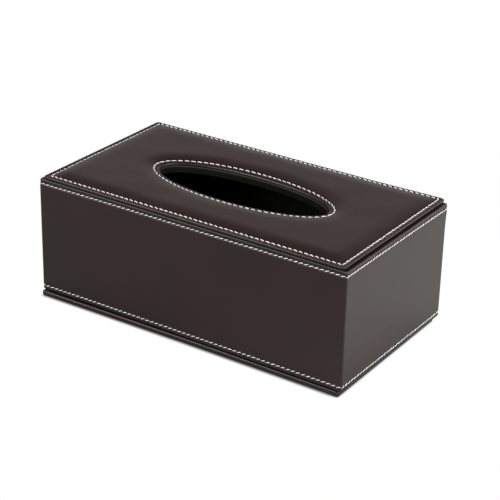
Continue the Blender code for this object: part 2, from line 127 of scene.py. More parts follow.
class Outline:
    """A cross-section drawn from point to point, as (inset, height)."""

    def __init__(self, inset: float, height: float) -> None:
        """Start the outline at a point."""
        self.points = [np.array([[inset, height]])]

    def line(self, inset: float, height: float, steps: int = 1) -> "Outline":
        """Draw a straight stretch.

        Args:
            inset: where it ends, in from the edge.
            height: where it ends, up.
            steps: how many pieces it is cut in.

        Returns:
            The outline, to go on drawing.
        """
        start = self.points[-1][-1]
        share = np.linspace(0, 1, steps + 1)[1:, None]
        self.points.append(start + (np.array([inset, height]) - start) * share)
        return self

    def bend(self, start: float, end: float, reach: tuple[float, float], steps: int) -> "Outline":
        """Draw a quarter or half of an oval from the last point.

        The points are centre + reach * (cos, sin) of angles at even steps, and the
        centre is where that puts the first one on the last point.

        Args:
            start: first angle in degrees, from the inset's direction.
            end: last angle in degrees.
            reach: the oval's half width and half height.
            steps: how many pieces it is cut in.

        Returns:
            The outline, to go on drawing.
        """
        angles = np.radians(np.linspace(start, end, steps + 1))
        round_part = np.column_stack([np.cos(angles), np.sin(angles)]) * np.array(reach)
        self.points.append(round_part[1:] - round_part[0] + self.points[-1][-1])
        return self

    def drawn(self) -> np.ndarray:
        """All points, one row each."""
        return np.concatenate(self.points)


def outward(points: np.ndarray) -> np.ndarray:
    """Unit normals of an outline, on its left as it is drawn.

    Each is the direction between the neighbours on both sides, turned a quarter turn.

    Args:
        points: the outline's points, one row each.

    Returns:
        One normal for each point.
    """
    along = np.gradient(points, axis=0)
    turned = np.column_stack([-along[:, 1], along[:, 0]])
    return turned / np.linalg.norm(turned, axis=1, keepdims=True)


def ease(share: np.ndarray) -> np.ndarray:
    """Level at both ends, 3 s^2 - 2 s^3, of a share held between 0 and 1."""
    share = np.clip(share, 0, 1)
    return share * share * (3 - 2 * share)


def bell(way: np.ndarray, width: float | np.ndarray) -> np.ndarray:
    """A bell about zero, exp(-(way / width)^2)."""
    return np.exp(-((way / width) ** 2))


def in_space(normals: np.ndarray, out: np.ndarray) -> np.ndarray:
    """Turn an outline's normals into directions in space.

    Args:
        normals: the normals, as (part along out, part upwards), one row each.
        out: the level direction at each station.

    Returns:
        Directions in a grid, one row for each normal and one column a station.
    """
    flat = normals[:, :1, None] * out
    up = np.broadcast_to(normals[:, 1:, None], flat.shape[:2] + (1,))
    return np.concatenate([flat, up], axis=2)


def way_along(points: np.ndarray) -> np.ndarray:
    """Length along a line of points at each of them, from the first one."""
    steps = np.linalg.norm(np.diff(points, axis=0), axis=1)
    return np.concatenate([[0], np.cumsum(steps)])


@dataclass
class RoundedLoop:
    """A rounded rectangle seen from above, and the loops inset from it.

    It is followed counter-clockwise from the middle of its right side. On the way, the
    share of the corner's centre and the direction of the outward normal both change in
    straight lines between the ends of the corners. A place is then
    share * (half size - inset - corner radius) + normal * corner radius.
    """

    half_x: float
    half_y: float
    radius: float
    step: float
    corner_steps: int
    centre: tuple[float, float] = (0.0, 0.0)
    least_radius: float = 0.0004
    back_cosine: float = 0.99
    share: np.ndarray = field(init=False)
    normal: np.ndarray = field(init=False)
    corner: np.ndarray = field(init=False)

    def __post_init__(self) -> None:
        """Place the stations that every loop of this family has."""
        side_x = 2 * (self.half_x - self.radius)
        side_y = 2 * (self.half_y - self.radius)
        count_x = 2 * round(side_x / self.step / 2)
        count_y = 2 * round(side_y / self.step / 2)
        turn = self.corner_steps
        counts = [count_y / 2, turn, count_x, turn, count_y, turn, count_x, turn, count_y / 2]
        knots = np.concatenate([[0], np.cumsum(counts)])
        place = np.arange(knots[-1])
        angle = np.interp(place, knots, np.repeat(np.arange(5), 2) * math.pi / 2)
        share_x = np.interp(place, knots, (1, 1, 1, -1, -1, -1, -1, 1, 1, 1))
        share_y = np.interp(place, knots, (0, 1, 1, 1, 1, -1, -1, -1, -1, 0))
        self.share = np.column_stack([share_x, share_y])
        self.normal = np.column_stack([np.cos(angle), np.sin(angle)])
        self.corner = np.abs(np.sin(2 * angle))

    def carry(self, outline: np.ndarray) -> np.ndarray:
        """Carry an outline round the loop.

        Args:
            outline: points as (inset, height).

        Returns:
            Points in a grid, one row for each of the outline's and one column a station.
        """
        inset = outline[:, :1]
        radius = np.maximum(self.radius - inset, self.least_radius)
        x = self.centre[0] + self.share[:, 0] * (self.half_x - inset - radius)
        y = self.centre[1] + self.share[:, 1] * (self.half_y - inset - radius)
        z = np.broadcast_to(outline[:, 1:], x.shape)
        return np.stack([x + self.normal[:, 0] * radius, y + self.normal[:, 1] * radius, z], axis=2)

    def lean(self, normals: np.ndarray) -> np.ndarray:
        """Turn an outline's normals, as (inset, height), into directions at each station."""
        return in_space(normals, -self.normal)

    def gathers(self, depth: float, count: int) -> np.ndarray:
        """Depth of gathers at each station of the corners, as a cosine of the turn."""
        turn = np.arctan2(self.normal[:, 1], self.normal[:, 0])
        return depth * np.cos(count * turn) * self.corner

    def behind(self, margin: float = 0.0) -> np.ndarray:
        """Whether each station lies on the back side, at least a margin from its ends."""
        inside = np.abs(self.share[:, 0]) * self.half_x <= self.half_x - margin
        return (self.normal[:, 1] > self.back_cosine) & inside


@dataclass
class OvalLoop:
    """An oval seen from above and the ovals outset from it, at given angles.

    A place is (half length + outset) * cos, (half width + outset) * sin of the angle.
    """

    half_x: float
    half_y: float
    angles: np.ndarray
    centre: tuple[float, float] = (0.0, 0.0)

    def carry(self, outline: np.ndarray) -> np.ndarray:
        """Carry an outline of (outset, height) round the oval, as a grid of points.

        Args:
            outline: points as (outset, height).

        Returns:
            Points in a grid, one row for each of the outline's and one column a station.
        """
        outset = outline[:, :1]
        x = self.centre[0] + (self.half_x + outset) * np.cos(self.angles)
        y = self.centre[1] + (self.half_y + outset) * np.sin(self.angles)
        return np.stack([x, y, np.broadcast_to(outline[:, 1:], x.shape)], axis=2)

    def lean(self, normals: np.ndarray) -> np.ndarray:
        """Turn an outline's normals, as (outset, height), into directions at each angle.

        Args:
            normals: the normals, one row each.

        Returns:
            Directions in a grid, one row for each normal.
        """
        x = self.half_y * np.cos(self.angles)
        y = self.half_x * np.sin(self.angles)
        out = np.column_stack([x, y]) / np.hypot(x, y)[:, None]
        return in_space(normals, out)


class Draft:
    """Points and faces gathered before they become one mesh."""

    def __init__(self) -> None:
        """Start with nothing."""
        self.points: list[np.ndarray] = []
        self.faces: list[np.ndarray] = []
        self.uvs: list[np.ndarray] = []
        self.painted_light_values: list[np.ndarray] = []
        self.count = 0

    def add_points(self, points: np.ndarray, painted_light: np.ndarray | None = None) -> np.ndarray:
        """Add points of any grid shape.

        Args:
            points: an array whose last axis is x, y, z.
            painted_light: how much painted shade or painted highlight each point gets, from 0 to 1.

        Returns:
            The points' numbers, in the same grid shape.
        """
        shape = points.shape[:-1]
        number = int(np.prod(shape))
        self.points.append(points.reshape(-1, 3))
        self.painted_light_values.append(np.zeros(number) if painted_light is None else painted_light.reshape(-1))
        numbers = np.arange(self.count, self.count + number).reshape(shape)
        self.count += number
        return numbers

    def add_faces(self, numbers: np.ndarray, uv: np.ndarray | None = None) -> None:
        """Add faces of equal side count, with a UV for each corner if given.

        Args:
            numbers: point numbers, with a face's corners on the last axis.
            uv: the corners' places on the surface.
        """
        sides = numbers.shape[-1]
        faces = numbers.reshape(-1, sides)
        self.faces.append(faces)
        self.uvs.append(np.zeros((faces.size, 2)) if uv is None else uv.reshape(-1, 2))

    def add_skin(self, numbers: np.ndarray, points: np.ndarray, ring: tuple[bool, bool]) -> None:
        """Span quads over grids of points, whose last two axes are rows and columns.

        The UV is the length along the first column and the length along the middle row,
        so a pattern on it has its real size.

        Args:
            numbers: the points' numbers, as add_points returned them.
            points: the points, in the same shape.
            ring: whether the rows, and the columns, run round and close.
        """
        if ring[0]:
            numbers = np.concatenate([numbers, numbers[..., :1, :]], axis=-2)
            points = np.concatenate([points, points[..., :1, :, :]], axis=-3)
        if ring[1]:
            numbers = np.concatenate([numbers, numbers[..., :1]], axis=-1)
            points = np.concatenate([points, points[..., :1, :]], axis=-2)
        flat = points.reshape(-1, *points.shape[-3:])[0]
        across = way_along(flat[:, 0])
        along = way_along(flat[len(flat) // 2])
        uv = np.stack(np.broadcast_arrays(along, across[:, None]), axis=-1)
        uv = np.broadcast_to(uv, numbers.shape + (2,))
        corners = [(slice(None, -1), slice(None, -1)), (slice(None, -1), slice(1, None)),
                   (slice(1, None), slice(1, None)), (slice(1, None), slice(None, -1))]
        self.add_faces(
            np.stack([numbers[(..., *corner)] for corner in corners], axis=-1),
            np.stack([uv[(..., *corner, slice(None))] for corner in corners], axis=-2),
        )

    def add_ladder(self, first: np.ndarray, second: np.ndarray, turned: bool) -> None:
        """Span quads between two lines of point numbers that run side by side.

        Args:
            first: numbers along one line.
            second: as many numbers along the other.
            turned: whether the faces look the other way round.
        """
        quads = np.stack([first[:-1], first[1:], second[1:], second[:-1]], axis=1)
        self.add_faces(quads[:, ::-1] if turned else quads)

    def build(self, name: str, sharp_degrees: float = 40.0) -> bpy.types.Object:
        """Make the mesh and its object, with faces that point out of the closed body.

        The volume under each face, as a fan of triangles, sums to less than nothing when
        the body is inside out, and every face is then turned.

        Args:
            name: the piece's name.
            sharp_degrees: the angle between faces above which an edge stays sharp.

        Returns:
            The new object, at the origin.
        """
        points = np.concatenate(self.points)
        volume = sum(
            np.einsum("ij,ij->", points[f[:, 0]], np.cross(points[f[:, k]], points[f[:, k + 1]]))
            for f in self.faces
            for k in range(1, f.shape[1] - 1)
        )
        if volume < 0:
            self.uvs = [
                uv.reshape(*f.shape, 2)[:, ::-1].reshape(-1, 2) for f, uv in zip(self.faces, self.uvs)
            ]
            self.faces = [f[:, ::-1] for f in self.faces]
        sides = np.concatenate([np.full(len(f), f.shape[1]) for f in self.faces])
        corners = np.concatenate([f.reshape(-1) for f in self.faces])
        mesh = bpy.data.meshes.new(name)
        mesh.vertices.add(len(points))
        mesh.vertices.foreach_set("co", points.astype(np.float32).ravel())
        mesh.loops.add(len(corners))
        mesh.loops.foreach_set("vertex_index", corners.astype(np.int32))
        mesh.polygons.add(len(sides))
        starts = np.concatenate([[0], np.cumsum(sides)[:-1]])
        mesh.polygons.foreach_set("loop_start", starts.astype(np.int32))
        surface = mesh.uv_layers.new(name="surface")
        surface.data.foreach_set("uv", np.concatenate(self.uvs).astype(np.float32).ravel())
        # The mask of painted light, which the materials read.
        painted_light = mesh.attributes.new(PAINTED_LIGHT, "FLOAT", "POINT")
        painted_light.data.foreach_set("value", np.concatenate(self.painted_light_values).astype(np.float32))
        mesh.update(calc_edges=True)
        mesh.validate()
        mesh.shade_smooth()
        mesh.set_sharp_from_angle(angle=math.radians(sharp_degrees))
        piece = bpy.data.objects.new(name, mesh)
        bpy.context.scene.collection.objects.link(piece)
        return piece


def build_ring(name: str, grid: np.ndarray, painted_light: np.ndarray | None = None) -> bpy.types.Object:
    """Make a piece from a grid of points whose rows and columns both run round and close.

    Args:
        name: the piece's name.
        grid: the points.
        painted_light: how much painted shade or painted highlight each point gets, from 0 to 1.

    Returns:
        The new object.
    """
    draft = Draft()
    draft.add_skin(draft.add_points(grid, painted_light), grid, (True, True))
    return draft.build(name)


@dataclass(frozen=True)
class Rhythm:
    """How the stitches of one closed row follow each other.

    Between two stops the count grows evenly with the way, plus slow sine waves that are
    zero at the stops, as a hand on the machine makes them. The waves are given as half
    turns between two stops.
    """

    counts: tuple[int, ...]
    stops: tuple[float, ...] = (0.0, 1.0)
    wobble: float = 0.10
    seed: int = 1
    waves: tuple[int, ...] = (2, 5, 9, 14)
    fineness: int = 40

    @property
    def total(self) -> int:
        """How many stitches the whole row has."""
        return sum(self.counts)

    def phase(self, way: np.ndarray) -> np.ndarray:
        """Stitches sewn at a share of the way round; a whole number is a needle hole.

        Args:
            way: shares of the way round.

        Returns:
            The stitch count at each of them.
        """
        sewn = np.concatenate([[0], np.cumsum(self.counts)])
        stretch = np.clip(np.searchsorted(self.stops, way, side="right") - 1, 0, len(self.counts) - 1)
        starts = np.array(self.stops)[stretch]
        lengths = np.diff(self.stops)[stretch]
        local = (way - starts) / lengths
        random = np.random.default_rng(self.seed)
        heights = random.uniform(-1, 1, len(self.waves)) * self.wobble
        waves = np.sin(math.pi * local[..., None] * np.array(self.waves))
        return np.interp(way, self.stops, sewn) + waves @ heights

    def way(self, phase: np.ndarray) -> np.ndarray:
        """Share of the way round at which so many stitches are sewn."""
        table = np.linspace(0, 1, self.fineness * self.total)
        return np.interp(phase, self.phase(table), table)


@dataclass
class Track:
    """The closed line on the leather that a row of stitches is sewn along."""

    points: np.ndarray
    normals: np.ndarray
    ways: np.ndarray = field(init=False)

    def __post_init__(self) -> None:
        """Close the line and measure it."""
        self.points = np.concatenate([self.points, self.points[:1]])
        self.normals = np.concatenate([self.normals, self.normals[:1]])
        lengths = way_along(self.points)
        self.ways = lengths / lengths[-1]

    def at(self, way: np.ndarray) -> tuple[np.ndarray, np.ndarray, np.ndarray]:
        """Places, directions along and normals at shares of the way round.

        Args:
            way: shares of the way round.

        Returns:
            Three arrays of vectors, in the shape of the shares.
        """
        def read(table: np.ndarray, share: np.ndarray) -> np.ndarray:
            """Read a table of vectors between its rows."""
            share = share % 1.0
            return np.stack([np.interp(share, self.ways, table[:, k]) for k in range(3)], axis=-1)

        near = 0.5 / len(self.ways)
        along = read(self.points, way + near) - read(self.points, way - near)
        along /= np.linalg.norm(along, axis=-1, keepdims=True)
        return read(self.points, way), along, read(self.normals, way)


@dataclass(frozen=True)
class Pinch:
    """How a row of stitches draws the leather in.

    The depth is a channel along the row, plus a dimple at each needle hole, plus folds
    that run slantwise from the holes to the free edge. Across the row each falls off as a
    bell, and the folds follow a cosine of the stitch count along it.
    """

    channel: float = 0.00042
    channel_width: float = 0.0009
    free_width: float = 0.0012
    dimple: float = 0.00022
    dimple_share: float = 0.20
    fold: float = 0.00007
    fold_reach: float = 0.0016
    fold_lean: float = 160.0

    def depth(self, phase: np.ndarray, across: np.ndarray) -> np.ndarray:
        """Depth below the smooth leather.

        Args:
            phase: the stitch count at each column.
            across: distance from the row, towards the free edge, for each row of points.

        Returns:
            Depths in a grid, positive into the leather.
        """
        width = np.where(across > 0, self.free_width, self.channel_width)
        hole = bell(np.abs(phase - np.round(phase)), self.dimple_share)
        free_side = bell(across - self.fold_reach, self.fold_reach)
        folds = np.cos(FULL_TURN * (phase + self.fold_lean * across)) * self.fold
        return bell(across, width) * (self.channel + self.dimple * hole) + free_side * folds

    def shade(self, depth: np.ndarray) -> np.ndarray:
        """Painted shade in the channel at a depth: the square of its share of the channel."""
        return np.clip(depth / self.channel, 0, 1) ** 2 * CHANNEL_SHADE


@dataclass
class StitchRow:
    """One row of sewing thread: a short slanted tube for each stitch.

    Each tube rises out of one needle hole and dives into the next one. Its height over
    the leather is an arch, 1 - w^arch of the rise, less a steep drop of w^dive at both
    ends, where w runs from -1 to 1 along the stitch. Its middle line is slanted across
    the row, it tapers as the arch does, and flatness is its height as a share of its
    width. The left and back sides' stitches lie higher by left_rise and back_rise, times
    the square of the part of the row's direction that runs along that side.
    """

    name: str
    node: str
    track: Track
    rhythm: Rhythm
    slant_degrees: float
    thread: float = 0.00058
    gap_share: float = 0.08
    taper: float = 0.62
    rise: float = 0.00016
    sink: float = 0.0011
    rings: int = 11
    sides: int = 6
    arch: int = 4
    dive: int = 14
    flatness: float = 0.86
    sharp_degrees: float = 80.0
    slant_scatter: float = 2.5
    rise_scatter: tuple[float, float] = (0.8, 1.2)
    thread_scatter: tuple[float, float] = (0.94, 1.06)
    left_rise: float = 0.0
    back_rise: float = 0.0
    seed: int = 11

    def build(self) -> bpy.types.Object:
        """Make the row as one mesh of closed tubes.

        Returns:
            The new object.
        """
        random = np.random.default_rng(self.seed)
        number = np.arange(self.rhythm.total)
        w = np.linspace(-1, 1, self.rings)
        half = 0.5 - self.gap_share / 2
        phase = number[:, None] + 0.5 + w * half
        place, along, normal = self.track.at(self.rhythm.way(phase))
        lateral = np.cross(normal, along)
        lateral /= np.linalg.norm(lateral, axis=-1, keepdims=True)
        length = np.linalg.norm(place[:, -1] - place[:, 0], axis=-1)
        slant = np.radians(self.slant_degrees + random.normal(0, self.slant_scatter, len(number)))
        shift = w * (length / 2 * np.tan(slant))[:, None]
        lift = self.rise * random.uniform(*self.rise_scatter, len(number))
        height = lift[:, None] * (1 - w ** self.arch) - self.sink * np.abs(w) ** self.dive
        height = height + self.left_rise * along[..., 1] ** 2 * (place[..., 0] < 0)
        height = height + self.back_rise * along[..., 0] ** 2 * (place[..., 1] > 0)
        line = place + lateral * shift[..., None] + normal * height[..., None]
        thickness = random.uniform(*self.thread_scatter, (len(number), 1))
        radius = self.thread / 2 * (1 - self.taper * np.abs(w) ** self.arch) * thickness
        angle = (np.arange(self.sides) * FULL_TURN / self.sides)[:, None]
        side = lateral[:, :, None] * np.cos(angle) + normal[:, :, None] * np.sin(angle) * self.flatness
        tubes = line[:, :, None] + side * radius[:, :, None, None]
        draft = Draft()
        numbers = draft.add_points(tubes)
        draft.add_skin(numbers, tubes, (False, True))
        draft.add_faces(numbers[:, 0, ::-1])
        draft.add_faces(numbers[:, -1])
        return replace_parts(draft.build(self.name, self.sharp_degrees), self.node)


class Wiring:
    """Adds nodes to a node tree and joins them."""

    def __init__(self, tree: bpy.types.NodeTree) -> None:
        """Wire the given tree."""
        self.tree = tree

    def add(self, kind: str, inputs: dict | None = None, **settings: object) -> bpy.types.Node:
        """Add a node.

        Args:
            kind: the node's type name, without its ShaderNode prefix.
            inputs: what each named or numbered input holds: a value, or a socket to join.
            settings: the node's own settings.

        Returns:
            The new node.
        """
        node = self.tree.nodes.new(kind if kind.startswith("Node") else "ShaderNode" + kind)
        for name, value in settings.items():
            setattr(node, name, value)
        self.feed(node, inputs or {})
        return node

    def feed(self, node: bpy.types.Node, inputs: dict) -> None:
        """Set a node's inputs: a socket is joined, and anything else is the input's value.

        Args:
            node: the node.
            inputs: what each named or numbered input holds.
        """
        for key, value in inputs.items():
            if isinstance(value, Socket):
                self.tree.links.new(value, node.inputs[key])
            else:
                node.inputs[key].default_value = value

    def math(self, operation: str, *values: object) -> Socket:
        """Add a Math node on numbers or sockets and give its result."""
        return self.add("Math", dict(enumerate(values)), operation=operation).outputs[0]

    def weighted(self, *parts: tuple[object, float]) -> Socket:
        """Add up two values, each times its share."""
        return self.math("ADD", *(self.math("MULTIPLY", value, share) for value, share in parts))

    def spread(self, value: Socket, span: Span) -> Socket:
        """Map a value from one range to another."""
        bounds = dict(zip(("From Min", "From Max", "To Min", "To Max"), span))
        return self.add("MapRange", {"Value": value, **bounds}).outputs["Result"]

    def blend(self, share: object, first: object, second: object) -> Socket:
        """Mix two colours by a share."""
        return self.add("Mix", {0: share, 6: first, 7: second}, data_type="RGBA").outputs[2]

    def part_along(self, vector: Socket, axis: tuple[float, float, float]) -> Socket:
        """How far a vector goes along an axis."""
        return self.add("VectorMath", {0: vector, 1: axis}, operation="DOT_PRODUCT").outputs["Value"]

    def place(self, follows: Follows) -> Socket:
        """The place on the piece that a pattern follows."""
        return self.add("TexCoord").outputs[follows.value]

    def noise(self, vector: Socket, scale: object, detail: float) -> bpy.types.Node:
        """Add a noise texture."""
        return self.add("TexNoise", {"Vector": vector, "Scale": scale, "Detail": detail})

    def painted_light(self) -> Socket:
        """How much painted shade or painted highlight the surface gets, from 0 to 1."""
        return self.add("Attribute", attribute_name=PAINTED_LIGHT, attribute_type="GEOMETRY").outputs["Fac"]

    def bump(self, height: Socket, strength: float, depth: float) -> Socket:
        """Turn a height into a normal."""
        return self.add("Bump", {"Height": height, "Strength": strength, "Distance": depth}).outputs[0]


def start_group(name: str, outputs: tuple[str, ...]) -> tuple[Wiring, Socket, Socket]:
    """Start a node group that takes a vector and a scale, and puts out values.

    Args:
        name: the group's name.
        outputs: names of the values.

    Returns:
        The group's wiring, and its vector and scale.
    """
    tree = bpy.data.node_groups.new(name, "ShaderNodeTree")
    sockets = [("Vector", "INPUT", "NodeSocketVector"), ("Scale", "INPUT", "NodeSocketFloat")]
    sockets += [(output, "OUTPUT", "NodeSocketFloat") for output in outputs]
    for socket, side, kind in sockets:
        tree.interface.new_socket(socket, in_out=side, socket_type=kind)
    wiring = Wiring(tree)
    given = wiring.add("NodeGroupInput")
    return wiring, given.outputs["Vector"], given.outputs["Scale"]


@dataclass(frozen=True)
class LeatherGrain:
    """Fine leather grain: small soft pebbles between creases, over a slow change of tone.

    Pebbles come from the distance to the edges of a warped cell pattern, and fine noise
    breaks their tops. Scales are shares of the grain's own scale.
    """

    warp_scale: float = 0.35
    warp_reach: float = 0.9
    pebble_edge: float = 0.32
    pebble_power: float = 0.6
    pebble_share: float = 0.8
    fine_scale: float = 2.6
    fine_share: float = 0.35
    slow_scale: float = 0.012

    def build(self) -> bpy.types.NodeTree:
        """Make the group, which puts out a height and a tone.

        Returns:
            The group's node tree.
        """
        wiring, vector, scale = start_group("leather_grain", ("Height", "Tone"))
        warp = wiring.noise(vector, wiring.math("MULTIPLY", scale, self.warp_scale), 1.0)
        middle_grey = (0.5, 0.5, 0.5)
        sway = wiring.add("VectorMath", {0: warp.outputs["Color"], 1: middle_grey}, operation="SUBTRACT")
        reach = wiring.math("DIVIDE", self.warp_reach, scale)
        push = wiring.add("VectorMath", {0: sway.outputs[0], "Scale": reach}, operation="SCALE")
        warped = wiring.add("VectorMath", {0: vector, 1: push.outputs[0]}, operation="ADD").outputs[0]
        cells = wiring.add("TexVoronoi", {"Vector": warped, "Scale": scale}, feature="DISTANCE_TO_EDGE")
        pebble = wiring.spread(cells.outputs["Distance"], (0.0, self.pebble_edge, 0.0, 1.0))
        rounded = wiring.math("POWER", pebble, self.pebble_power)
        fine = wiring.noise(vector, wiring.math("MULTIPLY", scale, self.fine_scale), 2.0)
        slow = wiring.noise(vector, wiring.math("MULTIPLY", scale, self.slow_scale), 3.0)
        height = wiring.weighted((rounded, self.pebble_share), (fine.outputs[0], self.fine_share))
        wiring.add("NodeGroupOutput", {"Height": height, "Tone": slow.outputs[0]})
        return wiring.tree


@dataclass(frozen=True)
class PressedFibres:
    """Short fibres or crumbs pressed together: stretched noise, as a height and a shade."""

    stretch: tuple[float, float, float] = (1.0, 0.45, 1.6)
    crumb_share: float = 0.5
    slow_scale: float = 0.05
    near_share: float = 0.6
    slow_share: float = 0.4

    def build(self) -> bpy.types.NodeTree:
        """Make the group, which puts out a height and a shade.

        Returns:
            The group's node tree.
        """
        wiring, vector, scale = start_group("pressed_fibres", ("Height", "Shade"))
        stretched = wiring.add("Mapping", {"Vector": vector, "Scale": self.stretch}).outputs[0]
        fibres = wiring.noise(stretched, scale, 4.0).outputs[0]
        crumbs = wiring.add("TexVoronoi", {"Vector": vector, "Scale": scale}).outputs["Distance"]
        slow = wiring.noise(vector, wiring.math("MULTIPLY", scale, self.slow_scale), 2.0).outputs[0]
        wiring.add("NodeGroupOutput", {
            "Height": wiring.math("ADD", fibres, wiring.math("MULTIPLY", crumbs, self.crumb_share)),
            "Shade": wiring.weighted((fibres, self.near_share), (slow, self.slow_share)),
        })
        return wiring.tree


class Patterns:
    """The node groups that more than one finish uses, each built once."""

    def __init__(self) -> None:
        """Build the groups."""
        self.grain = LeatherGrain().build()
        self.fibres = PressedFibres().build()


def start_material(
    name: str, fixed: dict[str, object],
) -> tuple[bpy.types.Material, Wiring, bpy.types.Node]:
    """Start a material and set what is the same all over it.

    Args:
        name: the material's name.
        fixed: values for the shader's own sockets.

    Returns:
        The material, its wiring and its Principled shader.
    """
    material = bpy.data.materials.new(name)
    material.use_nodes = True
    shader = material.node_tree.nodes["Principled BSDF"]
    for socket, value in fixed.items():
        shader.inputs[socket].default_value = value
    return material, Wiring(material.node_tree), shader


@dataclass(frozen=True)
class LeatherFinish:
    """Dark brown grained leather with a satin face; creases are duller, and darker with painted shade."""

    name: str = "brown_leather"
    follows: Follows = Follows.OBJECT
    low_tone: Colour = (0.0163, 0.0072, 0.0058, 1.0)
    high_tone: Colour = (0.0188, 0.0083, 0.0067, 1.0)
    tone_span: Span = (0.35, 0.65, 0.0, 1.0)
    # Painted shade, blended in where the mask marks creases.
    painted_crease_shade: Colour = (0.0040, 0.0018, 0.0015, 1.0)
    rough_span: Span = (0.2, 1.1, 0.46, 0.36)
    crease_roughness: float = 0.18
    ior: float = 1.45
    specular: float = 0.5
    grain_size: float = 0.00055
    grain_depth: float = 0.000022
    grain_strength: float = 0.6

    def material(self, patterns: Patterns) -> bpy.types.Material:
        """Make the leather's material.

        Args:
            patterns: the shared node groups.

        Returns:
            The material.
        """
        fixed = {"IOR": self.ior, "Specular IOR Level": self.specular}
        material, wiring, shader = start_material(self.name, fixed)
        grain = wiring.add("Group", node_tree=patterns.grain)
        wiring.feed(grain, {"Vector": wiring.place(self.follows), "Scale": 1 / self.grain_size})
        tone = wiring.spread(grain.outputs["Tone"], self.tone_span)
        body = wiring.blend(tone, self.low_tone, self.high_tone)
        painted_light = wiring.painted_light()
        rough = wiring.spread(grain.outputs["Height"], self.rough_span)
        duller = wiring.math("MULTIPLY", painted_light, self.crease_roughness)
        wiring.feed(shader, {
            # Painted shade: darker in creases, by the mask of painted light.
            "Base Color": wiring.blend(painted_light, body, self.painted_crease_shade),
            "Roughness": wiring.math("ADD", rough, duller),
            "Normal": wiring.bump(grain.outputs["Height"], self.grain_strength, self.grain_depth),
        })
        return material


@dataclass(frozen=True)
class ThreadFinish:
    """Off-white waxed thread of two plies, whose twist runs round each stitch."""

    name: str = "white_thread"
    # Painted shade between the plies; the crown is the thread's own white.
    painted_valley_shade: Colour = (0.76, 0.75, 0.73, 1.0)
    crown: Colour = (0.97, 0.965, 0.955, 1.0)
    ply_length: float = 0.0009
    ply_depth: float = 0.00006
    ply_strength: float = 0.7
    ply_share: float = 0.75
    fuzz_share: float = 0.4
    fuzz_scale: float = 9000.0
    roughness: float = 0.55
    sheen: float = 0.25
    specular: float = 0.35

    def material(self) -> bpy.types.Material:
        """Make the thread's material. Its stripes are a sine of the way along and round, darker between the
        plies with painted shade; fuzz noise adds random tone.

        Returns:
            The material.
        """
        material, wiring, shader = start_material(self.name, {
            "Roughness": self.roughness,
            "Sheen Weight": self.sheen,
            "Specular IOR Level": self.specular,
        })
        where = wiring.place(Follows.SURFACE)
        split = wiring.add("SeparateXYZ", {0: where})
        both = wiring.math("ADD", split.outputs[0], split.outputs[1])
        wave = wiring.math("SINE", wiring.math("MULTIPLY", both, FULL_TURN / self.ply_length))
        ply = wiring.spread(wave, (-1.0, 1.0, 0.0, 1.0))
        fuzz = wiring.noise(where, self.fuzz_scale, 2.0).outputs[0]
        lit = wiring.weighted((ply, self.ply_share), (fuzz, self.fuzz_share))
        wiring.feed(shader, {
            # Darker between the plies is painted shade; the fuzz is random tone.
            "Base Color": wiring.blend(wiring.math("MINIMUM", lit, 1.0), self.painted_valley_shade, self.crown),
            "Normal": wiring.bump(lit, self.ply_strength, self.ply_depth),
        })
        return material


@dataclass(frozen=True)
class FibreFinish:
    """Board, flock or foam: pressed fibres or crumbs of one colour range."""

    name: str
    low: Colour
    high: Colour
    size: float
    depth: float
    roughness: float = 0.9
    specular: float = 0.25
    # A painted highlight's colour, laid on where the mask of painted light marks a fold.
    painted_highlight: Colour | None = None
    shade_span: Span = (0.3, 0.7, 0.0, 1.0)
    strength: float = 0.8

    def material(self, patterns: Patterns) -> bpy.types.Material:
        """Make the material from the shared fibre pattern, with a painted highlight where a fold is marked.

        Args:
            patterns: the shared node groups.

        Returns:
            The material.
        """
        fixed = {"Roughness": self.roughness, "Specular IOR Level": self.specular}
        material, wiring, shader = start_material(self.name, fixed)
        fibres = wiring.add("Group", node_tree=patterns.fibres)
        wiring.feed(fibres, {"Vector": wiring.place(Follows.OBJECT), "Scale": 1 / self.size})
        share = wiring.spread(fibres.outputs["Shade"], self.shade_span)
        colour = wiring.blend(share, self.low, self.high)
        # Painted highlight along a fold, by the mask of painted light.
        if self.painted_highlight:
            colour = wiring.blend(wiring.painted_light(), colour, self.painted_highlight)
        bump = wiring.bump(fibres.outputs["Height"], self.strength, self.depth)
        wiring.feed(shader, {"Base Color": colour, "Normal": bump})
        return material


@dataclass(frozen=True)
class PlatedFinish:
    """Nickel plate on a magnet, with fine brushed lines along it."""

    name: str = "plated_magnet"
    dull: Colour = (0.48, 0.48, 0.50, 1.0)
    bright: Colour = (0.66, 0.66, 0.68, 1.0)
    line_scale: tuple[float, float, float] = (60.0, 4000.0, 4000.0)
    rough_span: Span = (0.2, 0.8, 0.22, 0.42)

    def material(self) -> bpy.types.Material:
        """Make the plate's material from noise drawn out along X.

        Returns:
            The material.
        """
        material, wiring, shader = start_material(self.name, {"Metallic": 1.0})
        drawn = wiring.add("Mapping", {"Vector": wiring.place(Follows.OBJECT), "Scale": self.line_scale})
        lines = wiring.noise(drawn.outputs[0], 1.0, 3.0).outputs[0]
        wiring.feed(shader, {
            "Base Color": wiring.blend(lines, self.dull, self.bright),
            "Roughness": wiring.spread(lines, self.rough_span),
        })
        return material


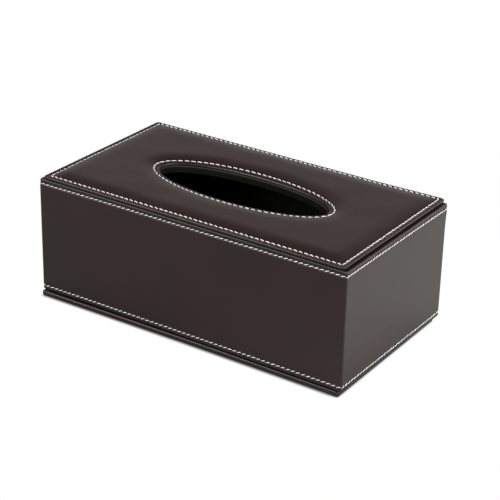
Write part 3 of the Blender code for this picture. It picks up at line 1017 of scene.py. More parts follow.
@dataclass
class Finishes:
    """Every material of the cover, by slot."""

    patterns: Patterns = field(default_factory=Patterns)
    made: dict[str, bpy.types.Material] = field(default_factory=dict)

    def __post_init__(self) -> None:
        """Make the materials."""
        board = FibreFinish(
            "fibreboard", low=(0.20, 0.15, 0.10, 1), high=(0.34, 0.27, 0.20, 1), size=0.0009, depth=0.00006,
        )
        # The flock's paler colour at the collar's fold is a painted highlight.
        flock = FibreFinish(
            "black_flock", low=(0.0045, 0.0045, 0.0025, 1), high=(0.011, 0.011, 0.007, 1), size=0.0004,
            depth=0.0001, roughness=0.95, specular=0.03, painted_highlight=(0.045, 0.044, 0.040, 1),
        )
        foam = FibreFinish(
            "open_foam", low=(0.46, 0.42, 0.32, 1), high=(0.66, 0.63, 0.54, 1), size=0.0012, depth=0.0004,
        )
        self.made = {
            Slot.LEATHER.value: LeatherFinish().material(self.patterns),
            "fold": LeatherFinish("brown_leather_fold", Follows.SURFACE).material(self.patterns),
            Slot.THREAD.value: ThreadFinish().material(),
            Slot.BOARD.value: board.material(self.patterns),
            Slot.LINING.value: flock.material(self.patterns),
            Slot.FOAM.value: foam.material(self.patterns),
            Slot.MAGNET.value: PlatedFinish().material(),
        }

    def dress(self, piece: bpy.types.Object, slot: Slot, name: str | None = None) -> None:
        """Give a new piece its material and say which slot it comes from.

        Args:
            piece: the new piece.
            slot: the slot that it comes from.
            name: the material's name here, where it isn't the slot's.
        """
        piece.data.materials.clear()
        piece.data.materials.append(self.made[name or slot.value])
        LOG.info("%s: %d faces, %s", piece.name, len(piece.data.polygons), slot.value)

    def dress_nodes(self, slots: dict[str, str]) -> None:
        """Give the CAD nodes that stay their finishes.

        Args:
            slots: the slot of each node.
        """
        for name, node in frame["nodes"].items():
            if node.hide_render:
                continue
            material = self.made[slots[name]]
            if node.data.materials:
                for place in range(len(node.data.materials)):
                    node.data.materials[place] = material
            else:
                node.data.materials.append(material)
            LOG.info("%s keeps its solid, %s", name, slots[name])


@dataclass(frozen=True)
class WallSlack:
    """How far the real wall wrap is from square, as the photo shows it.

    Along the right wall, and towards the left end, both rows sag: the lower one with the
    edge under it, less and less up to lower_height, and the upper one as a bell about it.
    Both sag more towards the back, and the upper one most at the back right corner. The
    lower edge lifts a little in front. The front left corner leans in, and the back right
    corner of the rim stands out.
    """

    right_reach: float = 0.010
    left_start: float = 0.07
    left_reach: float = 0.05
    lower_right: float = 0.0003
    lower_back: float = 0.0001
    lower_left: float = 0.0004
    lower_height: float = 0.03
    upper_right: float = 0.00025
    upper_back: float = 0.00015
    upper_corner: float = 0.0006
    upper_left: float = 0.0003
    corner_power: int = 6
    row_width: float = 0.002
    front_lift: float = 0.0003
    rim_start: float = 0.015
    rim_reach: float = 0.012
    lean_in: float = 0.0005
    lean_start: float = 0.095
    lean_reach: float = 0.030
    stand_out: float = 0.0010
    stand_start: float = 0.060
    stand_reach: float = 0.065


@dataclass
class WallWrap:
    """The leather round the four walls, and its two rows of stitches.

    Its outline has fine steps within fine_reach of a row. Off the walls' faces only
    hidden_share of the pinch is left. A strip beyond each row, and the walls' lower edge
    up to about floor_height, are darkened with painted shade.
    """

    leather: float = 0.0009
    edge: float = 0.0015
    roll_width: float = 0.0012
    lower_roll: float = 0.0022
    corner_radius: float = 0.0014
    turn_in: float = 0.012
    inner_inset: float = 0.0045
    step: float = 0.0008
    corner_steps: int = 7
    fine_reach: float = 0.0016
    row_margin: float = 0.0002
    bulge: float = 0.00006
    bulge_width: float = 0.0008
    hidden_share: float = 0.3
    gather: float = 0.00010
    gather_count: int = 20
    gather_width: float = 0.0016
    hinge_recess: float = 0.0009
    hinge_top: float = 0.0022
    hinge_ramp: float = 0.0003
    # Painted shade: under the panel's edge, in a strip beyond each row and on the lower edge.
    crease_width: float = 0.0010
    strip_way: float = 0.0012
    strip_width: float = 0.0008
    strip_shade: float = 0.7
    floor_shade: float = 1.2
    floor_height: float = 0.0010
    lean: float = 0.0003
    roll_height: float = 0.0013
    slant_degrees: float = 14.0
    slack: WallSlack = WallSlack()
    pinch: Pinch = Pinch(free_width=0.0011)
    lower_rhythm: Rhythm = Rhythm((197,), wobble=0.16, seed=5)
    upper_rhythm: Rhythm = Rhythm((197,), wobble=0.12, seed=8)

    def __post_init__(self) -> None:
        """Take the walls' size from the frame."""
        self.half_x = half_size("wall_leather")[0]
        self.half_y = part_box("wall_leather")[1].y
        self.top = highest("wall_leather")
        self.bottom = lowest("front_board") - (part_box("front_board")[0].y + self.half_y)
        self.height = self.top - self.bottom
        self.low_row = middle("wall_lower_stitching").z - self.bottom
        self.high_row = middle("wall_upper_stitching").z - self.bottom
        self.loop = RoundedLoop(self.half_x, self.half_y, self.corner_radius, self.step, self.corner_steps)

    def outer_outline(self) -> np.ndarray:
        """The finished side: down the inner turn-in, under, up the wall and in over it.

        Returns:
            Points as (inset, height).
        """
        edge, top = self.edge, self.height
        low, high, near = self.low_row, self.high_row, self.fine_reach
        outline = Outline(self.inner_inset + self.leather, self.turn_in)
        outline.line(self.inner_inset + self.leather, edge, 3).bend(0, -90, (edge, edge), 3)
        outline.line(self.roll_width, 0, 2).bend(-90, -180, (self.roll_width, self.lower_roll), 6)
        outline.line(0, low + near, 11).line(0, low + 4 * near, 2)
        outline.line(0, high - 4 * near, 8).line(0, high - near, 2)
        outline.line(0, high + self.row_margin, 6).line(self.lean, top - self.roll_height, 6)
        outline.bend(180, 90, (self.roll_width - self.lean, self.roll_height), 9)
        outline.line(2 * self.roll_width, top, 3).line(self.turn_in, top, 3)
        return outline.drawn()

    def inner_outline(self) -> np.ndarray:
        """The glued side, back from the top turn-in to the inner one.

        Returns:
            Points as (inset, height).
        """
        edge, top, skin = self.edge, self.height, self.leather
        small = (edge - skin, edge - skin)
        outline = Outline(self.turn_in, top - skin)
        outline.line(edge, top - skin, 2).bend(90, 180, small, 2)
        outline.line(skin, edge, 2).bend(180, 270, small, 2)
        outline.line(self.inner_inset + skin - edge, skin).bend(-90, 0, small, 2)
        outline.line(self.inner_inset, self.turn_in, 2)
        return outline.drawn()

    def row_track(self, height: float) -> Track:
        """The line of one stitch row, on the floor of its channel.

        Args:
            height: the row's height over the wrap's lower edge.

        Returns:
            The line.
        """
        channel = self.pinch.channel
        points = self.loop.carry(np.array([[channel, height]]))[0]
        points[:, 2] += self.bottom
        normals = np.column_stack([self.loop.normal, np.zeros(len(points))])
        return Track(self.settle(points), normals)

    def settle(self, points: np.ndarray) -> np.ndarray:
        """Shift points to where the real wrap isn't square.

        Args:
            points: the points.

        Returns:
            The shifted points.
        """
        x, y, z = points[..., 0], points[..., 1], points[..., 2] - self.bottom
        slack = self.slack
        far = np.clip((y / self.half_y + 1) / 2, 0, 1)
        right = ease((x - self.half_x) / slack.right_reach + 1)
        left = ease((-x - slack.left_start) / slack.left_reach) * (1 - far)
        lower = (slack.lower_right + slack.lower_back * far) * right + slack.lower_left * left
        corner = slack.upper_corner * far ** slack.corner_power
        upper = (slack.upper_right + slack.upper_back * far + corner) * right + slack.upper_left * left
        drop = lower * np.clip(1 - z / slack.lower_height, 0, 1)
        drop += upper * bell(z - self.high_row, slack.row_width)
        drop -= slack.front_lift * (1 - far) ** 2 * (1 - right) * bell(z, slack.row_width)
        at_rim = ease((z - self.height + slack.rim_start) / slack.rim_reach)
        out = ease((x - slack.stand_start) / slack.stand_reach) * ease(2 * far - 1) * at_rim
        moved = points.copy()
        moved[..., 0] += slack.lean_in * ease((-x - slack.lean_start) / slack.lean_reach) * (1 - far)
        moved[..., 1] += slack.stand_out * out
        moved[..., 2] -= drop
        return moved

    def relief(self, outline: np.ndarray) -> np.ndarray:
        """How deep each point of the outline is drawn in, at each station.

        It is the pinch of both rows, less a small bulge between each row and its edge,
        plus the corners' gathers at the rolled edges.

        Args:
            outline: the outer outline.

        Returns:
            Depths in a grid.
        """
        heights = outline[:, 1:]
        on_wall = outline[:, :1] < self.edge
        low, high = self.low_row, self.high_row
        lower = self.lower_rhythm.phase(self.row_track(low).ways[:-1])
        upper = self.upper_rhythm.phase(self.row_track(high).ways[:-1])
        depth = self.pinch.depth(lower, low - heights) + self.pinch.depth(upper, heights - high)
        depth = np.where(on_wall, depth, depth * self.hidden_share)
        for band in ((low + self.edge) / 2, (high + self.height - self.edge) / 2):
            depth = depth - self.bulge * bell(heights - band, self.bulge_width) * on_wall
        rolled = bell(np.minimum(heights, self.height - heights), self.gather_width)
        return depth + self.loop.gathers(self.gather, self.gather_count) * rolled

    def creases(self, outline: np.ndarray, depth: np.ndarray, points: np.ndarray) -> np.ndarray:
        """How much painted shade each point gets, from 0 to 1.

        The most of: painted shade in the rows' channels, in a strip beyond each row, on the
        edge over the flap and in the crease under the panel.

        Args:
            outline: the outer outline.
            depth: how deep its points are drawn in.
            points: its points in space.

        Returns:
            Shares in a grid.
        """
        heights = outline[:, 1:]
        on_wall = outline[:, :1] < self.edge
        # Painted shade in the channels, beyond the rows and on the lower edge.
        painted_light = self.pinch.shade(depth)
        for strip in (self.low_row - self.strip_way, self.high_row + self.strip_way):
            beyond = self.strip_shade * bell(heights - strip, self.strip_width) * on_wall
            painted_light = np.maximum(painted_light, beyond)
        painted_light = np.maximum(painted_light, np.clip(self.floor_shade - heights / self.floor_height, 0, 1))
        return np.where(heights > self.height / 2, np.maximum(painted_light, self.painted_shade_under_panel(points)), painted_light)

    def build_leather(self) -> bpy.types.Object:
        """Make the wrap: both sides of the leather carried round the walls.

        Behind, the lower edge lies back, so that the hinge's leather goes over it.

        Returns:
            The new object.
        """
        outer, inner = self.outer_outline(), self.inner_outline()
        heights, behind = outer[:, 1:], self.loop.behind()
        depth = self.relief(outer)
        points = self.loop.carry(outer) - self.loop.lean(outward(outer)) * depth[..., None]
        below = 1 - np.clip((heights - self.hinge_top) / self.hinge_ramp, 0, 1)
        outside = outer[:, :1] < self.inner_inset - self.edge
        points[..., 1] -= self.hinge_recess * behind * below * outside
        back = self.loop.carry(inner)
        at_edge = (inner[:, 1:] < self.hinge_top) & (inner[:, :1] < self.edge)
        back[..., 1] -= self.hinge_recess * behind * at_edge
        grid = np.concatenate([points, back])
        grid[..., 2] += self.bottom
        # Painted shade on the outer side; none on the glued side.
        painted_light = np.concatenate([self.creases(outer, depth, points), np.zeros(back.shape[:2])])
        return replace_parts(build_ring("wall_wrap", self.settle(grid), painted_light), "wall_leather")

    def painted_shade_under_panel(self, points: np.ndarray) -> np.ndarray:
        """How much painted shade places get in the crease under the panel's edge, from 0 to 1.

        It grows evenly with the way in from the panel's outline, over the crease's width.

        Args:
            points: the places.

        Returns:
            Shares, in the shape of the places.
        """
        half_x, half_y = half_size("panel_leather")
        centre = middle("panel_leather")
        way_x = half_x - np.abs(points[..., 0] - centre.x)
        way_y = half_y - np.abs(points[..., 1] - centre.y)
        return np.clip(0.5 + np.minimum(way_x, way_y) / self.crease_width, 0, 1)

    def rows(self) -> list[StitchRow]:
        """The two rows of stitches.

        Returns:
            The rows, yet to be built.
        """
        kinds = (
            ("lower_wall_stitches", "wall_lower_stitching", self.low_row, self.lower_rhythm, 21),
            ("upper_wall_stitches", "wall_upper_stitching", self.high_row, self.upper_rhythm, 22),
        )
        return [
            StitchRow(name, node, self.row_track(height), rhythm, self.slant_degrees, seed=seed)
            for name, node, height, rhythm, seed in kinds
        ]

    def build(self, finishes: Finishes) -> None:
        """Make the wrap and its stitches and hang them on the cover.

        Args:
            finishes: the materials of the cover.
        """
        wrap = self.build_leather()
        finishes.dress(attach(wrap, COVER), Slot.LEATHER)
        for row in self.rows():
            finishes.dress(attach(row.build(), COVER), Slot.THREAD)


@dataclass(frozen=True)
class PanelSlack:
    """How far the real panel is from square, as the photo shows it.

    The stitches run nearer to the edge along the back, so points go back by an eased
    share of the way in from the edge, and less again further in. The back right corner
    lies further back and the front edge further out. Under the edge the gap opens wider on
    the right, near the front.
    """

    back_shift: float = 0.0008
    back_reach: float = 0.016
    corner_shift: float = 0.0014
    corner_start: float = 0.060
    corner_reach: float = 0.060
    front_out: float = 0.0006
    front_reach: float = 0.003
    gape: float = 0.0005
    gape_y: float = -0.045
    gape_half: tuple[float, float] = (0.015, 0.025)
    gape_top: float = 0.0016
    gape_fade: float = 0.0011


@dataclass
class PaddedTop:
    """The padded panel: its leather, its two rows of stitches and the pad inside.

    The border's edge is half an oval whose half sizes are edge and edge_half, and the
    rim's nose is a quarter of one, nose_width by nose_drop. Between border and opening
    half_rows rows to each side crowd towards the stitches, as even steps to row_power.
    The border's stitches are counted from the middle of the right end to each corner.
    """

    leather: float = 0.0009
    edge: float = 0.0007
    edge_lift: float = 0.0004
    edge_half: float = 0.00095
    seat_inset: float = 0.0030
    corner_radius: float = 0.002
    border_inset: float = 0.0036
    opening_outset: float = OPENING_OUTSET
    border_hem: float = 0.010
    opening_hem: float = 0.008
    stitch_height: float = 0.0022
    crown: float = 0.00155
    slope_even: float = 0.004
    slope_width: float = 0.0115
    nose_width: float = 0.0031
    nose_drop: float = 0.0018
    nose_fall: float = 0.0001
    unevenness: float = 0.00004
    wave_lengths: tuple[float, ...] = (0.031, 0.043, 0.061, 0.085)
    wave_seed: int = 17
    gather: float = 0.00012
    gather_count: int = 24
    gather_width: float = 0.0022
    # Painted shade under the border's edge, up to shade_lift over edge_lift, fading over shade_fade.
    shade_lift: float = 0.0004
    shade_fade: float = 0.0003
    step: float = 0.00083
    corner_steps: int = 6
    half_rows: int = 14
    row_power: float = 1.8
    under_rows: int = 7
    pad_shares: tuple[float, ...] = (0.05, 0.12, 0.25, 0.4, 0.6, 0.75, 0.88, 0.95)
    pad_gap: float = 0.0003
    pad_skip: int = 4
    pad_fill: float = 0.6
    border_counts: tuple[int, ...] = (15, 58, 30, 58, 15)
    opening_rhythm: Rhythm = Rhythm((73,), wobble=0.12, seed=4)
    slack: PanelSlack = PanelSlack()
    pinch: Pinch = Pinch(channel=0.00045, free_width=0.0010, fold=0.00010, fold_reach=0.0018)

    def __post_init__(self) -> None:
        """Take the panel's place and the opening's size from the frame."""
        self.half_x, self.half_y = half_size("panel_leather")
        self.bottom = lowest("panel_leather")
        self.centre = tuple(middle("panel_leather").xy)
        stitch_x, stitch_y = half_size("opening_stitching")
        self.rim_x = stitch_x - self.opening_outset - CAD_THREAD / 2
        self.rim_y = stitch_y - self.opening_outset - CAD_THREAD / 2
        self.loop = RoundedLoop(
            self.half_x, self.half_y, self.corner_radius, self.step, self.corner_steps, self.centre
        )
        self.border_x = self.half_x - self.border_inset
        self.border_y = self.half_y - self.border_inset
        line = self.loop.carry(np.array([[self.border_inset, 0]]))[0] - np.array([*self.centre, 0])
        angles = np.arctan2(line[:, 1] / self.border_y, line[:, 0] / self.border_x)
        self.oval = OvalLoop(self.rim_x, self.rim_y, angles, self.centre)
        corners = np.array([[1, 1], [-1, 1], [-1, -1], [1, -1]])
        ways = Track(line, line).ways
        stops = [ways[np.argmax(line[:, :2] @ corner)] for corner in corners]
        self.border_rhythm = Rhythm(self.border_counts, (0.0, *stops, 1.0), wobble=0.08, seed=3)

    def rise(self, distance: np.ndarray) -> np.ndarray:
        """How far the pad has risen at a distance from a stitch row, from 0 to 1.

        It rises evenly at first, and past that its steepness falls in a straight line to
        nothing at the slope's width.

        Args:
            distance: the distances.

        Returns:
            Shares of the full height.
        """
        easing = self.slope_width - self.slope_even
        past = np.clip(distance - self.slope_even, 0, easing)
        risen = np.clip(distance, 0, self.slope_even) + past - past ** 2 / (2 * easing)
        return risen / (self.slope_even + easing / 2)

    def crown_height(self, x: np.ndarray, y: np.ndarray) -> np.ndarray:
        """Height of the pad over the stitch lines.

        The rises from the four sides and from the oval are multiplied. The distance from
        the oval is (F - 1) over the length of F's gradient, where F is the length of
        (x / half length, y / half width). Slow sine waves make it a little uneven.

        Args:
            x: places along X.
            y: places along Y.

        Returns:
            Heights there.
        """
        x, y = x - self.centre[0], y - self.centre[1]
        a, b = self.rim_x + self.opening_outset, self.rim_y + self.opening_outset
        level = np.hypot(x / a, y / b)
        gradient = np.hypot(x / a ** 2, y / b ** 2) / level
        full = self.rise(self.border_x - np.abs(x)) * self.rise(self.border_y - np.abs(y))
        full = full * self.rise((level - 1) / gradient)
        random = np.random.default_rng(self.wave_seed)
        uneven = np.zeros_like(x)
        for length in self.wave_lengths:
            turn, shift = random.uniform(0, FULL_TURN, 2)
            uneven += np.sin(FULL_TURN * (x * np.cos(turn) + y * np.sin(turn)) / length + shift)
        return full * (self.crown + self.unevenness * uneven)

    def settle(self, points: np.ndarray) -> np.ndarray:
        """Shift points to where the real panel isn't square.

        Args:
            points: the points.

        Returns:
            The shifted points.
        """
        x, y, z = points[..., 0] - self.centre[0], points[..., 1] - self.centre[1], points[..., 2]
        slack = self.slack
        way_in = self.half_y - y
        fading = 1 - ease((way_in - self.border_inset) / slack.back_reach)
        shift = ease(way_in / self.border_inset) * fading
        corner = ease((x - slack.corner_start) / slack.corner_reach) * ease(y / self.half_y)
        front = 1 - ease((self.half_y + y) / slack.front_reach)
        gaping = bell(x - self.half_x, slack.gape_half[0]) * bell(y - slack.gape_y, slack.gape_half[1])
        under = np.clip((slack.gape_top - z) / slack.gape_fade, 0, 1) * (z > self.leather / 4)
        moved = points.copy()
        moved[..., 1] += slack.back_shift * shift + slack.corner_shift * corner - slack.front_out * front
        moved[..., 2] += slack.gape * gaping * under
        return moved

    def border_outline(self) -> np.ndarray:
        """From the hem under the border, up off the walls, round the edge to the stitches.

        Returns:
            Points as (inset, height).
        """
        outline = Outline(self.border_hem, 0).line(self.seat_inset, 0, 2)
        outline.line(self.seat_inset - self.edge_lift, self.edge_lift, 2).line(self.edge, self.edge_lift)
        outline.bend(-90, -270, (self.edge, self.edge_half), 10)
        return outline.line(self.border_inset, self.stitch_height, 7).drawn()

    def opening_outline(self) -> np.ndarray:
        """From the opening's stitch line, over the nose of the rim, to the hem under it.

        Returns:
            Points as (outset, height).
        """
        nose_top = self.stitch_height - self.nose_fall
        outline = Outline(self.opening_outset, self.stitch_height).line(self.nose_width, nose_top, 4)
        outline.bend(90, 180, (self.nose_width, self.nose_drop), 8)
        outline.bend(180, 270, (self.edge, nose_top - self.nose_drop), 4)
        return outline.line(self.opening_hem, 0, 2).drawn()

    def hidden_outlines(self) -> tuple[np.ndarray, np.ndarray]:
        """The glued side at the opening and at the border, in the order of the ring.

        Returns:
            The two outlines' points.
        """
        skin = self.leather
        small = (self.edge - skin, (self.stitch_height - 2 * skin) / 2)
        opening = Outline(self.opening_hem, skin).line(self.edge, skin).bend(270, 90, small, 3)
        opening.line(self.opening_outset, self.stitch_height - skin - self.pinch.channel)
        border = Outline(self.border_inset, self.stitch_height - skin - self.pinch.channel)
        border.line(self.seat_inset, skin).line(self.border_hem, skin)
        return opening.drawn(), border.drawn()

    def pad_rows(self, shares: np.ndarray) -> tuple[np.ndarray, np.ndarray]:
        """Rows between the two stitch lines.

        Args:
            shares: share of the way from the border to the opening for each row.

        Returns:
            The points, at the crown's height, and the length of each column.
        """
        first = self.loop.carry(np.array([[self.border_inset, self.stitch_height]]))
        last = self.oval.carry(np.array([[self.opening_outset, self.stitch_height]]))
        grid = first + (last - first) * shares[:, None, None]
        grid[..., 2] += self.crown_height(grid[..., 0], grid[..., 1])
        return grid, np.linalg.norm(last - first, axis=2)

    def tracks(self) -> tuple[Track, Track]:
        """The lines of the border's and the opening's stitches, on their channels' floors.

        Returns:
            The border's line and the opening's.
        """
        floor = self.stitch_height - self.pinch.channel
        found = []
        for loop, inset in ((self.loop, self.border_inset), (self.oval, self.opening_outset)):
            points = self.settle(loop.carry(np.array([[inset, floor]]))[0])
            points[:, 2] += self.bottom
            found.append(Track(points, np.tile([0.0, 0.0, 1.0], (len(points), 1))))
        return found[0], found[1]

    def build_leather(self) -> bpy.types.Object:
        """Make the panel's leather: border, crown and rim, and the glued side below.

        Returns:
            The new object.
        """
        border_track, opening_track = self.tracks()
        border_phase = self.border_rhythm.phase(border_track.ways[:-1])
        opening_phase = self.opening_rhythm.phase(opening_track.ways[:-1])
        border, opening = self.border_outline(), self.opening_outline()
        border_across = way_along(border[::-1])[::-1, None]
        even = np.arange(1, self.half_rows + 1) / self.half_rows
        half = 0.5 * even ** self.row_power
        shares = np.concatenate([half, 1 - half[-2::-1]])
        crown, lengths = self.pad_rows(shares)

        border_depth = self.pinch.depth(border_phase, border_across)
        rolled = bell(border_across - self.border_inset, self.gather_width)
        border_depth += self.loop.gathers(self.gather, self.gather_count) * rolled
        opening_depth = self.pinch.depth(opening_phase, way_along(opening)[:, None])
        crown_depth = self.pinch.depth(border_phase, -shares[:, None] * lengths)
        crown_depth += self.pinch.depth(opening_phase, (shares[:, None] - 1) * lengths)

        border_points = self.loop.carry(border)
        border_points -= self.loop.lean(outward(border)) * border_depth[..., None]
        opening_points = self.oval.carry(opening)
        opening_points -= self.oval.lean(-outward(opening)) * opening_depth[..., None]
        crown[..., 2] -= crown_depth

        hidden_opening, hidden_border = self.hidden_outlines()
        under, _ = self.pad_rows(np.linspace(1, 0, self.under_rows + 2)[1:-1])
        under[..., 2] -= self.leather + self.pinch.channel
        grid = self.settle(np.concatenate([
            border_points, crown, opening_points,
            self.oval.carry(hidden_opening), under, self.loop.carry(hidden_border),
        ]))
        grid[..., 2] += self.bottom
        # Painted shade in the rows' channels and under the border's edge.
        shown = np.concatenate([border_depth, crown_depth, opening_depth])
        painted_light = np.zeros(grid.shape[:2])
        painted_light[:len(shown)] = self.pinch.shade(shown)
        painted_shade_under_edge = np.clip((self.edge_lift + self.shade_lift - border[:, 1:]) / self.shade_fade, 0, 1)
        painted_light[:len(border)] = np.maximum(painted_light[:len(border)], painted_shade_under_edge)
        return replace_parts(build_ring("panel_cover", grid, painted_light), "panel_leather")

    def build_pad(self) -> bpy.types.Object:
        """Make the foam pad: a ring of foam that follows the crown from below.

        Returns:
            The new object.
        """
        top, _ = self.pad_rows(np.array(self.pad_shares))
        top[..., 2] += self.bottom - self.leather - self.pinch.channel - self.pad_gap
        base = top[::-1].copy()
        base[..., 2] = highest("panel_board") + self.pad_gap
        grid = np.concatenate([top, base])[:, ::self.pad_skip]
        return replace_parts(build_ring("panel_pad", grid), "panel_foam")

    def build(self, finishes: Finishes) -> None:
        """Make the panel's pieces and hang them on the cover.

        Args:
            finishes: the materials of the cover.
        """
        cover = self.build_leather()
        finishes.dress(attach(cover, COVER), Slot.LEATHER)
        pad = self.build_pad()
        finishes.dress(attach(pad, COVER), Slot.FOAM)
        border, opening = self.tracks()
        rows = [
            StitchRow(
                "border_stitches", "panel_border_stitching", border, self.border_rhythm,
                slant_degrees=-11, thread=0.00074, rise=0.00024, gap_share=0.12, left_rise=-0.0002,
                back_rise=0.0003, seed=31,
            ),
            StitchRow(
                "opening_stitches", "opening_stitching", opening, self.opening_rhythm,
                slant_degrees=-9, thread=0.00074, rise=0.00026, gap_share=0.14, seed=32,
            ),
        ]
        for row in rows:
            finishes.dress(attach(row.build(), COVER), Slot.THREAD)


@dataclass
class OpeningLiner:
    """The lining under the top board, with its collar folded out over the hole's rim.

    Its sheet goes on by reach to the walls' linings, and rim_lip is how far the collar
    stands in from the panel's rim.
    """

    thickness: float = 0.0005
    rim_lip: float = 0.0008
    proud: float = 0.0004
    reach: float = 0.0008
    fold: float = 0.0030
    # The painted highlight on the collar's fold is this many thicknesses wide.
    painted_highlight_width: float = 1.2
    step: float = 0.003
    corner_steps: int = 4

    def build(self, finishes: Finishes) -> None:
        """Make the liner as a ring carried from its outer edge to the oval's collar.

        A painted highlight lies on the flock where the collar folds, as a bell about the fold
        whose width is given in thicknesses.

        Args:
            finishes: the materials of the cover.
        """
        half_x, half_y = (half + self.reach for half in half_size("top_lining"))
        bottom, top = lowest("top_lining"), highest("top_lining") + self.proud
        lip = self.rim_lip + OPENING_OUTSET + CAD_THREAD / 2
        stitch_x, stitch_y = half_size("opening_stitching")
        thick = self.thickness
        loop = RoundedLoop(half_x, half_y, 2 * thick, self.step, self.corner_steps)
        line = loop.carry(np.array([[0, 0]]))[0]
        angles = np.arctan2(line[:, 1] / half_y, line[:, 0] / half_x)
        oval = OvalLoop(stitch_x - lip, stitch_y - lip, angles, tuple(middle("opening_stitching").xy))
        outline = Outline(thick, bottom + thick).line(thick, top - 2 * thick, 3)
        outline.bend(180, 90, (thick, thick), 2).line(self.fold, top - thick, 3)
        outline.bend(-90, 90, (thick / 2, thick / 2), 4).line(2 * thick, top, 3)
        collar = outline.bend(90, 180, (2 * thick, 2 * thick), 5).line(0, bottom, 3).drawn()
        sheet = np.array([[0, bottom], [0, bottom + thick]])
        grid = np.concatenate([loop.carry(sheet), oval.carry(collar)])
        painted_highlight = bell(np.hypot(collar[:, 0] - thick / 2, collar[:, 1] - top), self.painted_highlight_width * thick)
        painted_highlight = np.concatenate([np.zeros(len(sheet)), painted_highlight])[:, None] * np.ones(grid.shape[1])
        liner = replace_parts(build_ring("opening_liner", grid, painted_highlight), "top_lining")
        finishes.dress(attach(liner, COVER), Slot.LINING)


@dataclass
class BaseFlap:
    """The flap's leather, wrapped under its board and turned in on top.

    Its flat faces have rows of points at field_inset and rim_inset.
    """

    leather: float = 0.0006
    edge: float = 0.0012
    corner_radius: float = 0.0015
    turn_in: float = 0.012
    thickness: float = 0.0035
    step: float = 0.003
    corner_steps: int = 8
    hinge_recess: float = 0.0008
    hinge_bottom: float = 0.0014
    hinge_margin: float = 0.003
    field_inset: float = 0.030
    rim_inset: float = 0.008
    waviness: float = 0.00006
    wave_step: float = 0.21
    wave_inset: float = 0.004
    mitre_depth: float = 0.0003
    # Painted shade on the upper face, in from the edge, where it lies under the walls.
    shade_start: float = 0.0004
    shade_reach: float = 0.0010
    rim_start: float = 0.003
    rim_reach: float = 0.008
    puff: float = 0.0006
    puff_start: float = 0.002
    puff_reach: float = 0.006
    flat_share: float = 0.25
    front_left_out: float = 0.0017
    right_out: tuple[float, float] = (0.0010, 0.0008)

    def settle(
        self, points: np.ndarray, half: tuple[float, float], centre: tuple[float, float],
    ) -> np.ndarray:
        """Shift points to where the real flap isn't square, as the photo shows it.

        Its turned edge is puffed up but for the hinge's side. Its left end stands further
        to the front, and its right end further out, the more so towards the front. Both
        fade out in from the edge.

        Args:
            points: the points.
            half: half the flap's width and half its depth.
            centre: the flap's middle.

        Returns:
            The shifted points.
        """
        x, y, z = points[..., 0] - centre[0], points[..., 1] - centre[1], points[..., 2]
        front = np.clip(0.5 - y / (2 * half[1]), 0, 1)
        inset = np.minimum(half[0] - np.abs(x), half[1] + y)
        rim = 1 - ease((inset - self.rim_start) / self.rim_reach)
        puffed = (z > self.thickness / 2) * (1 - ease((inset - self.puff_start) / self.puff_reach))
        moved = points.copy()
        moved[..., 0] += ease(x / half[0]) * (self.right_out[0] + self.right_out[1] * front) * rim
        moved[..., 1] -= self.front_left_out * front * np.clip(-x / half[0], 0, 1) * rim
        moved[..., 2] += self.puff * puffed * ease(front / self.flat_share)
        return moved

    def outline(self, slot: float) -> np.ndarray:
        """From the middle of the underside round the edge to the middle of the glued side.

        Args:
            slot: the inset of the innermost loops, which are thin slots.

        Returns:
            Points as (inset, height).
        """
        edge, top, skin = self.edge, self.thickness, self.leather
        small = (edge - skin, edge - skin)
        outline = Outline(slot, 0).line(self.field_inset, 0, 2).line(self.rim_inset, 0, 2).line(edge, 0, 3)
        outline.bend(-90, -180, (edge, edge), 6).line(0, top - edge, 2).bend(180, 90, (edge, edge), 6)
        outline.line(self.turn_in, top, 6).line(self.turn_in, top - skin)
        outline.line(edge, top - skin, 3).bend(90, 180, small, 3).line(skin, edge).bend(180, 270, small, 3)
        return outline.line(self.field_inset, skin, 3).line(slot, skin, 2).drawn()

    def build_leather(self) -> bpy.types.Object:
        """Make the leather, with slow sine waves and mitred corners on its upper face.

        Behind, its upper edge lies back, so that the hinge's leather goes over it.

        Returns:
            The new object.
        """
        half_x, half_y = half_size("flap_leather")
        centre = tuple(middle("flap_leather").xy)
        loop = RoundedLoop(half_x, half_y, self.corner_radius, self.step, self.corner_steps, centre)
        outline = self.outline(half_y - loop.least_radius)
        insets, heights = outline[:, :1], outline[:, 1:]
        top_face = heights > self.thickness / 2
        grid = loop.carry(outline)
        waved = top_face * bell(insets - self.wave_inset, self.wave_inset)
        grid[..., 2] += self.waviness * np.sin(np.arange(grid.shape[1]) * self.wave_step) * waved
        mitre = loop.corner * (insets > self.corner_radius) * (heights > self.thickness - self.leather / 2)
        grid[..., 2] -= self.mitre_depth * mitre
        above = (heights > self.hinge_bottom) & (insets < self.edge)
        grid[..., 1] -= self.hinge_recess * loop.behind(self.hinge_margin) * above
        grid = self.settle(grid, (half_x, half_y), centre)
        # Painted shade on the upper face where it lies under the walls.
        painted_shade_under_wall = top_face * ease((insets - self.shade_start) / self.shade_reach)
        draft = Draft()
        numbers = draft.add_points(grid, painted_shade_under_wall * np.ones(grid.shape[1]))
        draft.add_skin(numbers, grid, (False, True))
        for row, turned in ((numbers[0], True), (numbers[-1], False)):
            self.close_slot(draft, row, turned)
        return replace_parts(draft.build("flap_wrap"), "flap_leather")

    @staticmethod
    def close_slot(draft: Draft, row: np.ndarray, turned: bool) -> None:
        """Close a thin loop whose halves mirror each other, with quads across it.

        Args:
            draft: the mesh being made.
            row: the loop's point numbers, from the middle of its right end.
            turned: whether the faces look the other way round.
        """
        half = len(row) // 2
        ends = np.array([[row[0], row[1], row[-1]], [row[half], row[half + 1], row[half - 1]]])
        draft.add_ladder(row[1:half], row[:half:-1], turned)
        draft.add_faces(ends[:, ::-1] if turned else ends)

    def build(self, finishes: Finishes) -> None:
        """Make the flap's leather and hang it on the flap."""
        finishes.dress(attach(self.build_leather(), FLAP), Slot.LEATHER)


